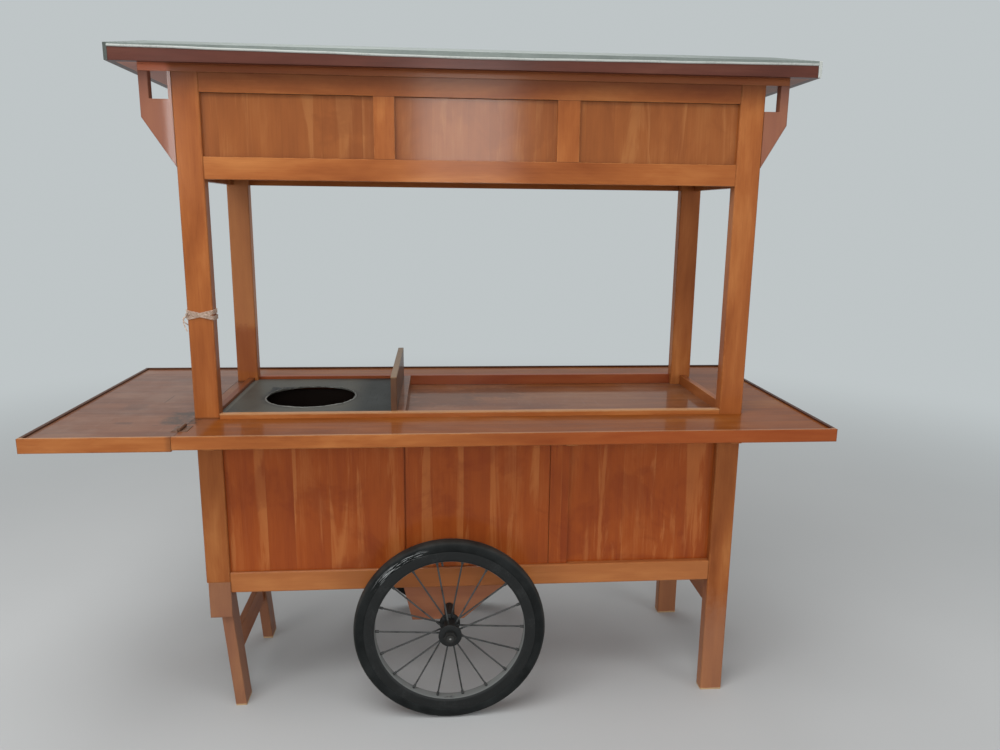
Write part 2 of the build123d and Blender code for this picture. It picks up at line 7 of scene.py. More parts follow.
import json
import logging
import math
from collections.abc import Iterable, Sequence
from dataclasses import dataclass, replace
from enum import Enum
from functools import reduce
from typing import Any

import bmesh
import bpy
import numpy as np
from mathutils import Matrix, Vector

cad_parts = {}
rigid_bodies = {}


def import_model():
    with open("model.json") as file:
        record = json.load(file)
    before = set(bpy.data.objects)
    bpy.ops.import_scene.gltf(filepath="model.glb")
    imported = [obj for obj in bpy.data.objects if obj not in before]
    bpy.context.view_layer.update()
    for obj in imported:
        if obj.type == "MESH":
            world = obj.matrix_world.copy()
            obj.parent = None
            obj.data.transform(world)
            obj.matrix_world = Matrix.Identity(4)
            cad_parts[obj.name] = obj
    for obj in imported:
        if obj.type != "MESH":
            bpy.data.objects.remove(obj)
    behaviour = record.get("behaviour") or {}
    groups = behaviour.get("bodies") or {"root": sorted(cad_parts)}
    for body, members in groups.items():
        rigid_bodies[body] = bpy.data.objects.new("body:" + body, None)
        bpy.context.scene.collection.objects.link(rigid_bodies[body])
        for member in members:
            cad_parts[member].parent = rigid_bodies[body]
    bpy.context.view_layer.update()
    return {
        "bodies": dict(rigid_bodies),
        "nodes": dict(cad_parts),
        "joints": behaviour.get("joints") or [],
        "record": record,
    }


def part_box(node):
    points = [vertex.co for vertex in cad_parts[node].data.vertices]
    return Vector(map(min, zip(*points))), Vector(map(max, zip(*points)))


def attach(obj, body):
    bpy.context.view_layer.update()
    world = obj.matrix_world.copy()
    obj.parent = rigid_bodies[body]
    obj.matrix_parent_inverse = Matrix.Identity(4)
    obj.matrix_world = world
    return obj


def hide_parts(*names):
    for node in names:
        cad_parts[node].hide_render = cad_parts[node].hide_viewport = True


log = logging.getLogger("pushcart")

Array = np.ndarray
Colour = tuple[float, float, float]
Point = tuple[float, float, float]
Span = tuple[float, float]

MM = 0.001
FULL_TURN = 2.0 * math.pi

# A patch is open on a side that lies this far off, in metres.
FAR = 9.0
OPEN = (-FAR, FAR)

STILL = (0.0, 0.0, 0.0)
BLACK = (0.0, 0.0, 0.0)
KNOT = (0.045, 0.012, 0.004)

# How far apart along the three axes two timbers are cut from the pattern, for each whole step of their seed.
CUT = (1.7, 2.3, 0.9)

# Middle of the round hole in the stove's top, seen from above.
STOVE_HOLE = (-0.422, -0.020, 0.0)


class Grain(Enum):
    """Way that a timber's grain runs, as the turn that lays it along the pattern's own Z axis."""

    ALONG_X = (0.0, math.pi / 2, 0.0)
    ALONG_Y = (math.pi / 2, 0.0, 0.0)
    ALONG_Z = (0.0, 0.0, 0.0)


class Side(Enum):
    """Side of the cart, as the sign of Y outwards."""

    FRONT = -1
    BACK = 1

    @property
    def word(self) -> str:
        """Ending of this side's node names."""
        return self.name.lower()


class Value:
    """Number in a shader. An expression on it adds the Math nodes that work it out."""

    def __init__(self, tree: "Tree", socket: bpy.types.NodeSocket) -> None:
        """Wrap an output socket that carries a number."""
        self.tree = tree
        self.socket = socket

    def math(self, operation: str, first: Any, second: Any = 0.0, clamp: bool = False) -> "Value":
        """Add one Math node on two numbers or Values, kept from 0 to 1 where clamp is set."""
        settings = {"operation": operation, "use_clamp": clamp}
        return Value(self.tree, self.tree.node("ShaderNodeMath", settings, {0: first, 1: second}).outputs[0])

    def __add__(self, other: Any) -> "Value":
        """Sum."""
        return self.math("ADD", self, other)

    __radd__ = __add__

    def __sub__(self, other: Any) -> "Value":
        """Difference."""
        return self.math("SUBTRACT", self, other)

    def __rsub__(self, other: Any) -> "Value":
        """Difference from a plain number."""
        return self.math("SUBTRACT", other, self)

    def __mul__(self, other: Any) -> "Value":
        """Product."""
        return self.math("MULTIPLY", self, other)

    __rmul__ = __mul__

    def __truediv__(self, other: Any) -> "Value":
        """Quotient."""
        return self.math("DIVIDE", self, other)

    def __abs__(self) -> "Value":
        """Size without its sign."""
        return self.math("ABSOLUTE", self)

    def wave(self) -> "Value":
        """Sine of the number, from 0 to 1."""
        return self.math("SINE", self) * 0.5 + 0.5

    def root(self) -> "Value":
        """Square root of the number."""
        return self.math("SQRT", self)

    def above(self, other: Any) -> "Value":
        """1 where the number is above the other one, and 0 elsewhere."""
        return self.math("GREATER_THAN", self, other)

    def least(self, other: Any) -> "Value":
        """Smaller of the two numbers."""
        return self.math("MINIMUM", self, other)

    def most(self, other: Any) -> "Value":
        """Larger of the two numbers."""
        return self.math("MAXIMUM", self, other)

    def clamp(self) -> "Value":
        """The number kept from 0 to 1."""
        return self.math("ADD", self, 0.0, clamp=True)

    def step(self, low: float, high: float) -> "Value":
        """Smooth step on the number.

        Args:
            low: Number at which the step is 0; it may be the larger of the two.
            high: Number at which the step is 1.

        Returns:
            The step, from 0 to 1.
        """
        inputs = {"Value": self, "From Min": low, "From Max": high}
        made = self.tree.node("ShaderNodeMapRange", {"interpolation_type": "SMOOTHSTEP"}, inputs)
        return Value(self.tree, made.outputs["Result"])


class Tree:
    """Node tree in the making, with one method that adds any node."""

    def __init__(self, tree: bpy.types.NodeTree) -> None:
        """Take up a node tree to add to."""
        self.tree = tree

    def node(
        self, kind: str, settings: dict[str, Any] | None = None, inputs: dict[Any, Any] | None = None
    ) -> bpy.types.Node:
        """Add a node, set it up, then feed its sockets.

        Args:
            kind: The node's type.
            settings: Properties to set first; "stops" holds a ramp's positions and colours.
            inputs: Socket names or numbers, each with a plain value, a Value or an output socket.

        Returns:
            The node.
        """
        made = self.tree.nodes.new(kind)
        for key, value in (settings or {}).items():
            if key == "stops":
                ramp = made.color_ramp.elements
                while len(ramp) < len(value):
                    ramp.new(1.0)
                for element, (position, colour) in zip(ramp, value):
                    element.position = position
                    element.color = (*colour, 1.0)
            else:
                setattr(made, key, value)
        for key, value in (inputs or {}).items():
            self.feed(made.inputs[key], value)
        return made

    def feed(self, target: bpy.types.NodeSocket, value: Any) -> None:
        """Give a socket a link or a plain value.

        Args:
            target: The input socket.
            value: A Value, an output socket, a number, a vector or a colour of three parts.
        """
        if isinstance(value, Value):
            value = value.socket
        if isinstance(value, bpy.types.NodeSocket):
            self.tree.links.new(value, target)
        elif target.type == "RGBA":
            target.default_value = (*value, 1.0)
        else:
            target.default_value = value

    def seen(self) -> Value:
        """Find the rays that show the backdrop.

        Returns:
            1 on the rays of the camera, of gloss and through glass, and 0 on the others.
        """
        path = self.node("ShaderNodeLightPath").outputs
        kinds = ("Is Camera Ray", "Is Glossy Ray", "Is Transmission Ray")
        return reduce(Value.most, [Value(self, path[kind]) for kind in kinds])


class Recipe(Tree):
    """Material in the making, with the patterns and blends that its finish calls for."""

    def __init__(self, name: str) -> None:
        """Start a material on a plain Principled shader.

        Args:
            name: The material's name.
        """
        self.material = bpy.data.materials.new(name)
        self.material.use_nodes = True
        super().__init__(self.material.node_tree)
        self.shader = self.tree.nodes["Principled BSDF"]
        self.place = self.node("ShaderNodeTexCoord").outputs["Object"]

    def axes(self, vector: bpy.types.NodeSocket) -> tuple[Value, Value, Value]:
        """Split a vector into its three numbers."""
        made = self.node("ShaderNodeSeparateXYZ", inputs={0: vector})
        return tuple(Value(self, output) for output in made.outputs)

    def laid(
        self, vector: bpy.types.NodeSocket, turn: Point = STILL, shift: Point = STILL, size: Point = (1.0, 1.0, 1.0)
    ) -> bpy.types.NodeSocket:
        """Turn the space of a pattern in radians, move it in metres and scale it, about and along its three axes."""
        inputs = {"Vector": vector, "Location": shift, "Rotation": turn, "Scale": size}
        return self.node("ShaderNodeMapping", {"vector_type": "POINT"}, inputs).outputs[0]

    def around(self, centre: Sequence[float]) -> tuple[Value, Value, Value]:
        """Way of each point from a centre, as three numbers."""
        return self.axes(self.laid(self.place, shift=tuple(-part for part in centre)))

    def noise(
        self, vector: Any, scale: float, detail: float = 2.0, roughness: float = 0.5, wander: float = 0.0
    ) -> Value:
        """Noise of about 0.5: clouds per metre, number and share of the finer layers, and how far it all wanders."""
        inputs = {"Vector": vector, "Scale": scale, "Detail": detail, "Roughness": roughness, "Distortion": wander}
        return Value(self, self.node("ShaderNodeTexNoise", inputs=inputs).outputs[0])

    def stretched(self, vector: Any, along: float) -> bpy.types.NodeSocket:
        """The pattern's space drawn out along its own Z axis, by 1 over the given share."""
        return self.laid(vector, size=(1.0, 1.0, along))

    def scratches(self, turn: float, thin: float, scale: float, span: Span) -> Value:
        """1 in fine straight scratches, so thin for their length, where the noise passes a span of values."""
        lined = self.laid(self.place, (0.0, 0.0, turn), size=(1.0, thin, 1.0))
        return self.noise(lined, scale, 1.0, 0.4).step(*span)

    def ramp(self, value: Value, stops: Sequence[tuple[float, Colour]]) -> bpy.types.NodeSocket:
        """Colour read from a number by way of a few stops."""
        return self.node("ShaderNodeValToRGB", {"stops": stops}, {0: value}).outputs[0]

    def mix(self, share: Any, first: Any, second: Any) -> bpy.types.NodeSocket:
        """Mix a share of the second colour into the first."""
        return self.node("ShaderNodeMix", {"data_type": "RGBA"}, {0: share, 6: first, 7: second}).outputs[2]

    def either(self, share: Value, first: Any, second: Any) -> bpy.types.NodeSocket:
        """Second vector where the share is 1, and the first one elsewhere."""
        return self.node("ShaderNodeMix", {"data_type": "VECTOR"}, {0: share, 4: first, 5: second}).outputs[1]

    def arris(self, radius: float) -> tuple[bpy.types.NodeSocket, Value]:
        """Ease the edges of what the material lies on.

        Args:
            radius: Radius of the eased edge, in metres.

        Returns:
            The eased normal, and how worn the edge is, from 0 on a flat face to 1 on the arris.
        """
        eased = self.node("ShaderNodeBevel", {"samples": 4}, {"Radius": radius}).outputs[0]
        own = self.node("ShaderNodeNewGeometry").outputs["Normal"]
        alike = self.node("ShaderNodeVectorMath", {"operation": "DOT_PRODUCT"}, {0: eased, 1: own})
        return eased, Value(self, alike.outputs["Value"]).step(0.995, 0.86)

    def bump(self, height: Value, depth: float, strength: float = 1.0, eased: Any = None) -> None:
        """Raise the surface by a height.

        Args:
            height: Height from 0 to 1.
            depth: Real height of 1, in metres.
            strength: Share of the slope that shows.
            eased: Normal to start from, where it isn't the surface's own.
        """
        inputs = {"Strength": strength, "Distance": depth, "Height": height}
        if eased is not None:
            inputs["Normal"] = eased
        self.finish(Normal=self.node("ShaderNodeBump", inputs=inputs).outputs[0])

    def finish(self, **sockets: Any) -> bpy.types.Material:
        """Feed the shader's own sockets.

        Args:
            **sockets: Socket names, with an underscore for each space, and what each gets.

        Returns:
            The material.
        """
        for name, value in sockets.items():
            self.feed(self.shader.inputs[name.replace("_", " ")], value)
        return self.material


@dataclass(frozen=True)
class Mitre:
    """Level frame of four members, mitred at its corners, from its lowest corner to its highest along X and Y."""

    low: Span
    high: Span

    def turned(self, spot: tuple[Value, Value, Value]) -> tuple[Value, Value]:
        """Tell the frame's end members from its long ones.

        Args:
            spot: The point's three numbers.

        Returns:
            1 on the end members, and the distance from the nearest mitre.
        """
        along, across = (
            (high - low) / 2 - abs(part - (high + low) / 2) for part, low, high in zip(spot, self.low, self.high)
        )
        gap = across - along
        return gap.above(0.0), abs(gap) * math.sqrt(0.5)


@dataclass(frozen=True)
class Rails:
    """Upright frame in the plane of the cart's side: rails along it and stiles between their heights."""

    low: float
    high: float

    def turned(self, spot: tuple[Value, Value, Value]) -> tuple[Value, Value]:
        """1 on the stiles and 0 on the rails, and the distance from the nearest joint."""
        reach = (self.high - self.low) / 2 - abs(spot[2] - (self.high + self.low) / 2)
        return reach.above(0.0), abs(reach)


@dataclass(frozen=True)
class Patch:
    """Box-shaped part of a surface that is paler, darker or dirtier than the rest."""

    colour: Colour
    share: float
    soft: float = 1.0 * MM
    ragged: float = 0.0
    x: Span = OPEN
    y: Span = OPEN
    z: Span = OPEN

    def cover(self, recipe: Recipe) -> Value:
        """Share of the patch at each point: the least of the distances inwards from its sides.

        Args:
            recipe: The material that it is painted in.

        Returns:
            The patch's share, 0 outside it.
        """
        inwards = []
        for number, (low, high) in zip(recipe.axes(recipe.place), (self.x, self.y, self.z)):
            inwards += ([number - low] if low > -FAR else []) + ([high - number] if high < FAR else [])
        reach = reduce(Value.least, inwards)
        if self.ragged:
            reach = reach + (recipe.noise(recipe.place, 45.0, 4.0, 0.65) - 0.5) * self.ragged
        return reach.step(-self.soft, self.soft) * self.share


@dataclass(frozen=True)
class Ring:
    """Ring-shaped part of a surface between two radii, round an axis along Y, or along Z where it lies flat."""

    centre: Point
    low: float
    high: float
    colour: Colour
    share: float
    soft: float = 0.5 * MM
    flat: bool = False
    speck: float = 0.0

    def cover(self, recipe: Recipe) -> Value:
        """Share of the ring at each point, by the distance from its axis.

        Args:
            recipe: The material that it is painted in.

        Returns:
            The ring's share, 0 outside it.
        """
        x, y, z = recipe.around(self.centre)
        other = y if self.flat else z
        radius = (x * x + other * other).root()
        share = ((self.high - self.low) / 2 - abs(radius - (self.high + self.low) / 2)).step(-self.soft, self.soft)
        if self.speck:
            share = share * recipe.noise(recipe.place, 30.0, 4.0, 0.65).step(self.speck - 0.1, self.speck + 0.1)
        return share * self.share


Mark = Patch | Ring


def marked(recipe: Recipe, colour: Any, marks: Sequence[Mark]) -> Any:
    """Paint marks over a colour.

    Args:
        recipe: The material in the making.
        colour: The colour so far.
        marks: What is painted, in order.

    Returns:
        The colour with its marks.
    """
    for mark in marks:
        colour = recipe.mix(mark.cover(recipe), colour, mark.colour)
    return colour


@dataclass(frozen=True)
class Teak:
    """Varnished teak: figure, glued staves, sapwood streaks, knots, pores and joint lines under a clear coat."""

    name: str
    dark: Colour
    middle: Colour
    light: Colour
    stave: float = 0.0
    stave_range: float = 0.2
    figure: float = 0.5
    streaks: float = 0.0
    knots: float = 0.0
    coat: float = 0.3
    gloss: float = 0.14
    dust: float = 0.0
    wear: float = 0.5
    ease: float = 2.5 * MM
    tone: float = 0.45
    # Pale grey-pink of the dust film, which also paints a reflection of the pale surroundings on the boards.
    film: Colour = (0.33, 0.25, 0.20)

    def material(
        self,
        grain: Grain,
        seed: float,
        frame: Mitre | Rails | None = None,
        other: Grain | None = None,
        across: int = 0,
        marks: Sequence[Mark] = (),
    ) -> bpy.types.Material:
        """Make the finish for one timber.

        Args:
            grain: Way that the grain runs.
            seed: Where in the pattern this timber is cut, so that no two look alike.
            frame: How the members lie, where one node is a whole frame.
            other: Way that the grain runs in the frame's other members.
            across: Axis that the staves follow each other along, 0 or 1 of the turned pattern.
            marks: Stains, soot, rubs, pale edges, painted shade, painted highlights and painted reflections of this
                timber alone.

        Returns:
            The material.
        """
        recipe = Recipe(f"{self.name}_{grain.name.lower()}_{seed:g}")
        shift = tuple(seed * step for step in CUT)
        spot = recipe.laid(recipe.place, grain.value, shift)
        lines: list[Value] = []
        if frame is not None:
            turned, distance = frame.turned(recipe.axes(recipe.place))
            spot = recipe.either(turned, spot, recipe.laid(recipe.place, other.value, shift))
            lines.append(distance.step(0.9 * MM, 0.3 * MM) * 0.75)
        tone: Any = self.tone
        if self.stave:
            spot, tone, edge = self.staves(recipe, spot, across)
            lines.append(edge * 0.3)
        rings = (recipe.noise(recipe.stretched(spot, 0.11), 9.0, 2.0, 0.45) * 42.0).wave()
        broad = recipe.noise(recipe.stretched(spot, 0.22), 12.0, 4.0, 0.6, 0.3)
        strand = recipe.stretched(spot, 0.02)
        fine = recipe.noise(strand, 190.0, 3.0, 0.7)
        pores = recipe.noise(strand, 620.0, 1.0, 0.5).step(0.60, 0.72)
        tone = (broad - 0.5) * (3.0 * self.figure) + (rings - 0.5) * (0.24 * self.figure) + tone
        tone = ((fine - 0.5) * 0.28 + tone).clamp()
        colour = recipe.ramp(tone, ((0.0, self.dark), (0.5, self.middle), (1.0, self.light)))
        colour = recipe.mix(pores * 0.3, colour, self.dark)
        colour = self.knotted(recipe, spot, broad, self.streaked(recipe, spot, broad, colour))
        for line in lines:
            colour = recipe.mix(line, colour, KNOT)
        eased, arris = recipe.arris(self.ease)
        rub = arris * recipe.noise(recipe.place, 22.0, 4.0, 0.6).step(0.38, 0.60)
        colour = recipe.mix(rub * self.wear, colour, self.light)
        coat: Any = self.coat
        # Dust film and scratches; their pale grey-pink also stands in for a painted reflected sheen.
        if self.dust:
            film = recipe.noise(recipe.place, 5.0, 4.0, 0.65).step(0.40, 0.70) * self.dust
            scratch = recipe.scratches(0.7, 0.03, 330.0, (0.70, 0.75)) * self.dust
            colour = recipe.mix(film.most(scratch), colour, self.film)
            coat = (1.0 - film * 0.9) * self.coat
        recipe.bump(fine * 0.4 + rings * 0.3 - pores * 0.6, 0.25 * MM, 0.35, eased)
        return recipe.finish(
            Base_Color=marked(recipe, colour, marks),
            Roughness=fine * 0.2 + 0.40,
            Specular_IOR_Level=0.08,
            Coat_Weight=coat,
            Coat_Roughness=self.gloss,
            Coat_IOR=1.5,
        )

    def staves(
        self, recipe: Recipe, spot: bpy.types.NodeSocket, across: int
    ) -> tuple[bpy.types.NodeSocket, Value, Value]:
        """Cut a board into glued staves, each from its own place in the pattern.

        Args:
            recipe: The material in the making.
            spot: The point in the timber's own space.
            across: Axis that the staves follow each other along.

        Returns:
            The point in its stave's space, the stave's tone, and 1 on the glue lines.
        """
        inputs = {"W": recipe.axes(spot)[across] / self.stave, "Scale": 1.0, "Randomness": 0.85}
        cell = recipe.node("ShaderNodeTexVoronoi", {"voronoi_dimensions": "1D"}, inputs).outputs["Color"]
        edges = {"voronoi_dimensions": "1D", "feature": "DISTANCE_TO_EDGE"}
        far = Value(recipe, recipe.node("ShaderNodeTexVoronoi", edges, inputs).outputs["Distance"])
        moved = recipe.node("ShaderNodeVectorMath", {"operation": "ADD"}, {0: spot, 1: cell})
        tone = (recipe.axes(cell)[0] - 0.5) * self.stave_range + self.tone
        return moved.outputs[0], tone, far.step(0.5 * MM / self.stave, 0.0)

    def streaked(self, recipe: Recipe, spot: bpy.types.NodeSocket, broad: Value, colour: Any) -> Any:
        """Lay pale sapwood streaks and dark blushes over the wood, where it has them.

        Args:
            recipe: The material in the making.
            spot: The point in the timber's own space.
            broad: The wood's broad figure.
            colour: The colour so far.

        Returns:
            The colour with its streaks.
        """
        if not self.streaks:
            return colour
        streak = recipe.noise(recipe.stretched(spot, 0.09), 14.0, 5.0, 0.6, 0.9).step(0.535, 0.62)
        colour = recipe.mix(streak * (broad + 0.4) * self.streaks, colour, self.light)
        blush = recipe.noise(recipe.place, 5.5, 4.0, 0.62, 0.6).step(0.50, 0.62)
        return recipe.mix(blush * 0.34, colour, self.dark)

    def knotted(self, recipe: Recipe, spot: bpy.types.NodeSocket, broad: Value, colour: Any) -> Any:
        """Set small dark knots in the wood, where it has them.

        Args:
            recipe: The material in the making.
            spot: The point in the timber's own space.
            broad: The wood's broad figure, which bends the knots' outlines.
            colour: The colour so far.

        Returns:
            The colour with its knots.
        """
        if not self.knots:
            return colour
        cell = recipe.node("ShaderNodeTexVoronoi", None, {"Vector": recipe.stretched(spot, 0.4), "Scale": 7.0}).outputs
        chance = recipe.axes(cell["Color"])[1].above(1.0 - self.knots)
        knot = (Value(recipe, cell["Distance"]) + (broad - 0.5) * 0.05).step(0.075, 0.03) * chance
        return recipe.mix(knot * 0.8, colour, KNOT)


@dataclass(frozen=True)
class SheetMetal:
    """Dull sheet metal: mottled, scratched, dented, and brighter or darker in clouds."""

    name: str
    base: Colour
    dark: Colour
    rough: float = 0.42
    metallic: float = 0.3
    cloud: float = 9.0
    dent: float = 1.2 * MM

    def material(self, marks: Sequence[Mark] = ()) -> bpy.types.Material:
        """Make the finish.

        Args:
            marks: Hems, burns, stains, painted shade and painted light of this sheet alone.

        Returns:
            The material.
        """
        recipe = Recipe(self.name)
        clouds = recipe.noise(recipe.place, self.cloud, 5.0, 0.62)
        specks = recipe.noise(recipe.place, 140.0, 3.0, 0.6)
        scratch = recipe.scratches(0.6, 0.04, 260.0, (0.66, 0.74))
        tone = (clouds - 0.5) * 1.6 + (specks - 0.5) * 0.5 + scratch * 0.25 + 0.5
        colour = marked(recipe, recipe.mix(tone.clamp(), self.dark, self.base), marks)
        rough = clouds * 0.25 + (self.rough - 0.12) + scratch * 0.1
        eased, _ = recipe.arris(1.0 * MM)
        recipe.bump(clouds * 0.8 + scratch * 0.1, self.dent, 0.35, eased)
        return recipe.finish(Base_Color=colour, Roughness=rough, Metallic=self.metallic, Specular_IOR_Level=0.18)


@dataclass(frozen=True)
class Paint:
    """Painted iron or bare steel that has been handled: an even coat with rubs and specks."""

    name: str
    base: Colour
    rub: Colour
    rough: float = 0.4
    metallic: float = 0.0
    rubbed: float = 0.4

    def material(self, marks: Sequence[Mark] = ()) -> bpy.types.Material:
        """Make the finish.

        Args:
            marks: Dusty or rubbed places of this piece alone, some with painted light.

        Returns:
            The material.
        """
        recipe = Recipe(self.name)
        clouds = recipe.noise(recipe.place, 18.0, 4.0, 0.6)
        specks = recipe.noise(recipe.place, 240.0, 3.0, 0.65)
        rub = (specks * clouds * 2.0).step(0.52, 0.78) * self.rubbed
        colour = marked(recipe, recipe.mix(rub, self.base, self.rub), marks)
        recipe.bump(specks, 0.3 * MM, 0.25)
        return recipe.finish(
            Base_Color=colour,
            Roughness=clouds * 0.2 + (self.rough - 0.1) + rub * 0.2,
            Metallic=self.metallic,
            Specular_IOR_Level=0.3,
        )


@dataclass(frozen=True)
class Rubber:
    """Old tyre rubber: grey bloom, and pale scuffs that run round the wheel on part of its wall and paint a glint of
    light there.
    """

    name: str
    base: Colour = (0.004, 0.005, 0.005)
    bloom: Colour = (0.015, 0.017, 0.017)
    scuff: Colour = (0.50, 0.52, 0.52)
    dust: Colour = (0.10, 0.095, 0.085)
    # Radius and angle round the wheel of the scuffs' middle.
    scuffed_wall: float = 0.268
    scuffed_side: float = 2.2

    def material(self, centre: Vector) -> bpy.types.Material:
        """Make the finish.

        Args:
            centre: The wheel's centre, which the scuffs run round.

        Returns:
            The material.
        """
        recipe = Recipe(self.name)
        x, y, z = recipe.around(centre)
        radius = (x * x + z * z).root()
        angle = x.math("ARCTAN2", z, x)
        place = recipe.node("ShaderNodeCombineXYZ", inputs={0: angle * 0.011, 1: radius, 2: y * 0.3})
        lines = recipe.noise(place.outputs[0], 560.0, 2.0, 0.55)
        clouds = recipe.noise(recipe.place, 14.0, 4.0, 0.6)
        # Pale scuff lines on one part of the wall, which also paint the glint of light seen there.
        aim = abs(angle - self.scuffed_side).step(0.42, 0.2)
        wall = abs(radius - self.scuffed_wall).step(0.013, 0.005)
        marks = lines.step(0.56, 0.63) * aim * wall
        colour = recipe.mix(clouds.step(0.3, 0.75), self.base, self.bloom)
        tread = radius.step(0.281, 0.288) * (clouds * 0.4)
        colour = recipe.mix(tread, colour, self.dust)
        colour = recipe.mix(marks * 0.9, colour, self.scuff)
        recipe.bump(lines * 0.4 + clouds, 0.6 * MM, 0.3)
        return recipe.finish(Base_Color=colour, Roughness=clouds * 0.2 + 0.5, Specular_IOR_Level=0.16)


@dataclass(frozen=True)
class Twine:
    """Pale raffia twine with fibres along it."""

    name: str = "twine"
    dark: Colour = (0.38, 0.26, 0.19)
    pale: Colour = (0.74, 0.60, 0.50)
    grime: Colour = (0.26, 0.15, 0.09)

    def material(self) -> bpy.types.Material:
        """Make the finish.

        Returns:
            The material.
        """
        recipe = Recipe(self.name)
        fibres = recipe.noise(recipe.laid(recipe.place, (0.0, 0.5, 0.0), size=(0.2, 0.2, 1.0)), 900.0, 3.0)
        dirty = recipe.noise(recipe.place, 90.0, 3.0, 0.6).step(0.40, 0.70)
        colour = recipe.mix(fibres.step(0.35, 0.7), self.dark, self.pale)
        colour = recipe.mix(dirty * 0.4, colour, self.grime)
        recipe.bump(fibres, 0.3 * MM, 0.5)
        return recipe.finish(Base_Color=colour, Roughness=0.7, Specular_IOR_Level=0.2)


@dataclass
class Surface:
    """Grid of points worked out over two parameters, with the quads between them."""

    points: Array
    closed_rows: bool = False
    closed_columns: bool = False
    flip: bool = False

    def quads(self) -> Array:
        """Number the corners of each quad, by whole-array sums of row and column numbers.

        Returns:
            One row of four point numbers for each quad.
        """
        rows, columns = self.points.shape[:2]
        down = np.arange(rows if self.closed_rows else rows - 1)[:, None]
        over = np.arange(columns if self.closed_columns else columns - 1)[None, :]
        below, beyond = (down + 1) % rows, (over + 1) % columns
        corners = (down * columns + over, below * columns + over, below * columns + beyond, down * columns + beyond)
        quads = np.stack(np.broadcast_arrays(*corners), axis=-1).reshape(-1, 4)
        return quads[:, ::-1] if self.flip else quads


def turned(profile: Sequence[Span], steps: int = 96) -> Surface:
    """Carry a closed profile round the Y axis.

    The point at radius r and place y, turned by an angle a, lies at (r cos a, y, r sin a).

    Args:
        profile: Radius and place along Y of each corner, in order, round a closed outline.
        steps: Number of places round the axis.

    Returns:
        The turned surface, closed both ways.
    """
    outline = np.asarray(profile, float)
    angle = np.linspace(0.0, FULL_TURN, steps, endpoint=False)[:, None]
    radius, place = outline[None, :, 0], outline[None, :, 1]
    points = np.stack(
        [radius * np.cos(angle), np.broadcast_to(place, (steps, len(outline))), radius * np.sin(angle)], axis=-1
    )
    return Surface(points, closed_rows=True, closed_columns=True)


def rounded(profile: Sequence[Span], ease: float, steps: int = 3) -> list[Span]:
    """Round the corners of a closed outline.

    Each corner becomes the curve (1-t)^2 a + 2t(1-t) b + t^2 c, from a point a little before the corner b
    to a point c a little after it.

    Args:
        profile: Corners of the outline, in order.
        ease: Length taken from each side of a corner, at most 0.45 of that side.
        steps: Number of pieces in each rounded corner.

    Returns:
        The points of the rounded outline.
    """
    corner = np.asarray(profile, float)
    before, after = np.roll(corner, 1, axis=0) - corner, np.roll(corner, -1, axis=0) - corner
    short = [np.linalg.norm(way, axis=1, keepdims=True) for way in (before, after)]
    start, end = (
        corner + way / size * np.minimum(ease, 0.45 * size) for way, size in zip((before, after), short)
    )
    share = np.linspace(0.0, 1.0, steps + 1)[None, :, None]
    curve = (1 - share) ** 2 * start[:, None] + 2 * share * (1 - share) * corner[:, None] + share**2 * end[:, None]
    return [tuple(point) for point in curve.reshape(-1, 2)]


def rods(starts: Array, ends: Array, radii: Sequence[Span], sides: int = 10) -> list[Surface]:
    """Straight round rods from each start to each end.

    A point lies at start + t (end - start) + r(t) (cos a u + sin a v), where u and v are at right angles to
    the rod and r(t) steps through the given radii. Both ends close at radius 0.

    Args:
        starts: One row for each rod's start.
        ends: One row for each rod's end.
        radii: Share of the length and radius there, in order.
        sides: Number of places round a rod.

    Returns:
        One surface for each rod.
    """
    run = ends - starts
    way = run / np.linalg.norm(run, axis=1, keepdims=True)
    helper = np.where(np.abs(way[:, 1:2]) > 0.9, np.array([[1.0, 0.0, 0.0]]), np.array([[0.0, 1.0, 0.0]]))
    u = np.cross(way, helper)
    u /= np.linalg.norm(u, axis=1, keepdims=True)
    v = np.cross(way, u)
    share = np.array([radii[0][0], *[s for s, _ in radii], radii[-1][0]])
    radius = np.array([0.0, *[r for _, r in radii], 0.0])
    angle = np.linspace(0.0, FULL_TURN, sides, endpoint=False)
    around = np.cos(angle)[None, :, None] * u[:, None] + np.sin(angle)[None, :, None] * v[:, None]
    centre = starts[:, None] + share[None, :, None] * run[:, None]
    points = centre[:, :, None] + radius[None, :, None, None] * around[:, None]
    return [Surface(rod, closed_columns=True, flip=True) for rod in points]


def carried(path: Array, out: Array, up: Array, outline: Sequence[Span], closed: bool) -> Surface:
    """Carry a closed outline along a path.

    The point i of the outline, (a, b), lies at path + a out + b up at each place of the path.

    Args:
        path: One row for each place.
        out: Direction at each place in which the outline's first number is laid.
        up: Direction of its second number.
        outline: The outline's points, in order.
        closed: Whether the path comes back to its start. An open one is closed at its ends by a fan.

    Returns:
        The surface.
    """
    shape = np.asarray(outline, float)
    points = path[:, None] + shape[None, :, 0:1] * out[:, None] + shape[None, :, 1:2] * up[:, None]
    if not closed:
        caps = [np.broadcast_to(points[end].mean(axis=0), points[end].shape)[None] for end in (0, -1)]
        points = np.concatenate([caps[0], points, caps[1]])
    return Surface(points, closed_rows=closed, closed_columns=True)


def disc_of(size: float, squash: float = 1.0, places: int = 8) -> list[Span]:
    """Round or flattened outline: (r cos a, k r sin a) for places even steps of a."""
    angle = np.linspace(0.0, FULL_TURN, places, endpoint=False)
    return list(zip(size * np.cos(angle), size * squash * np.sin(angle)))


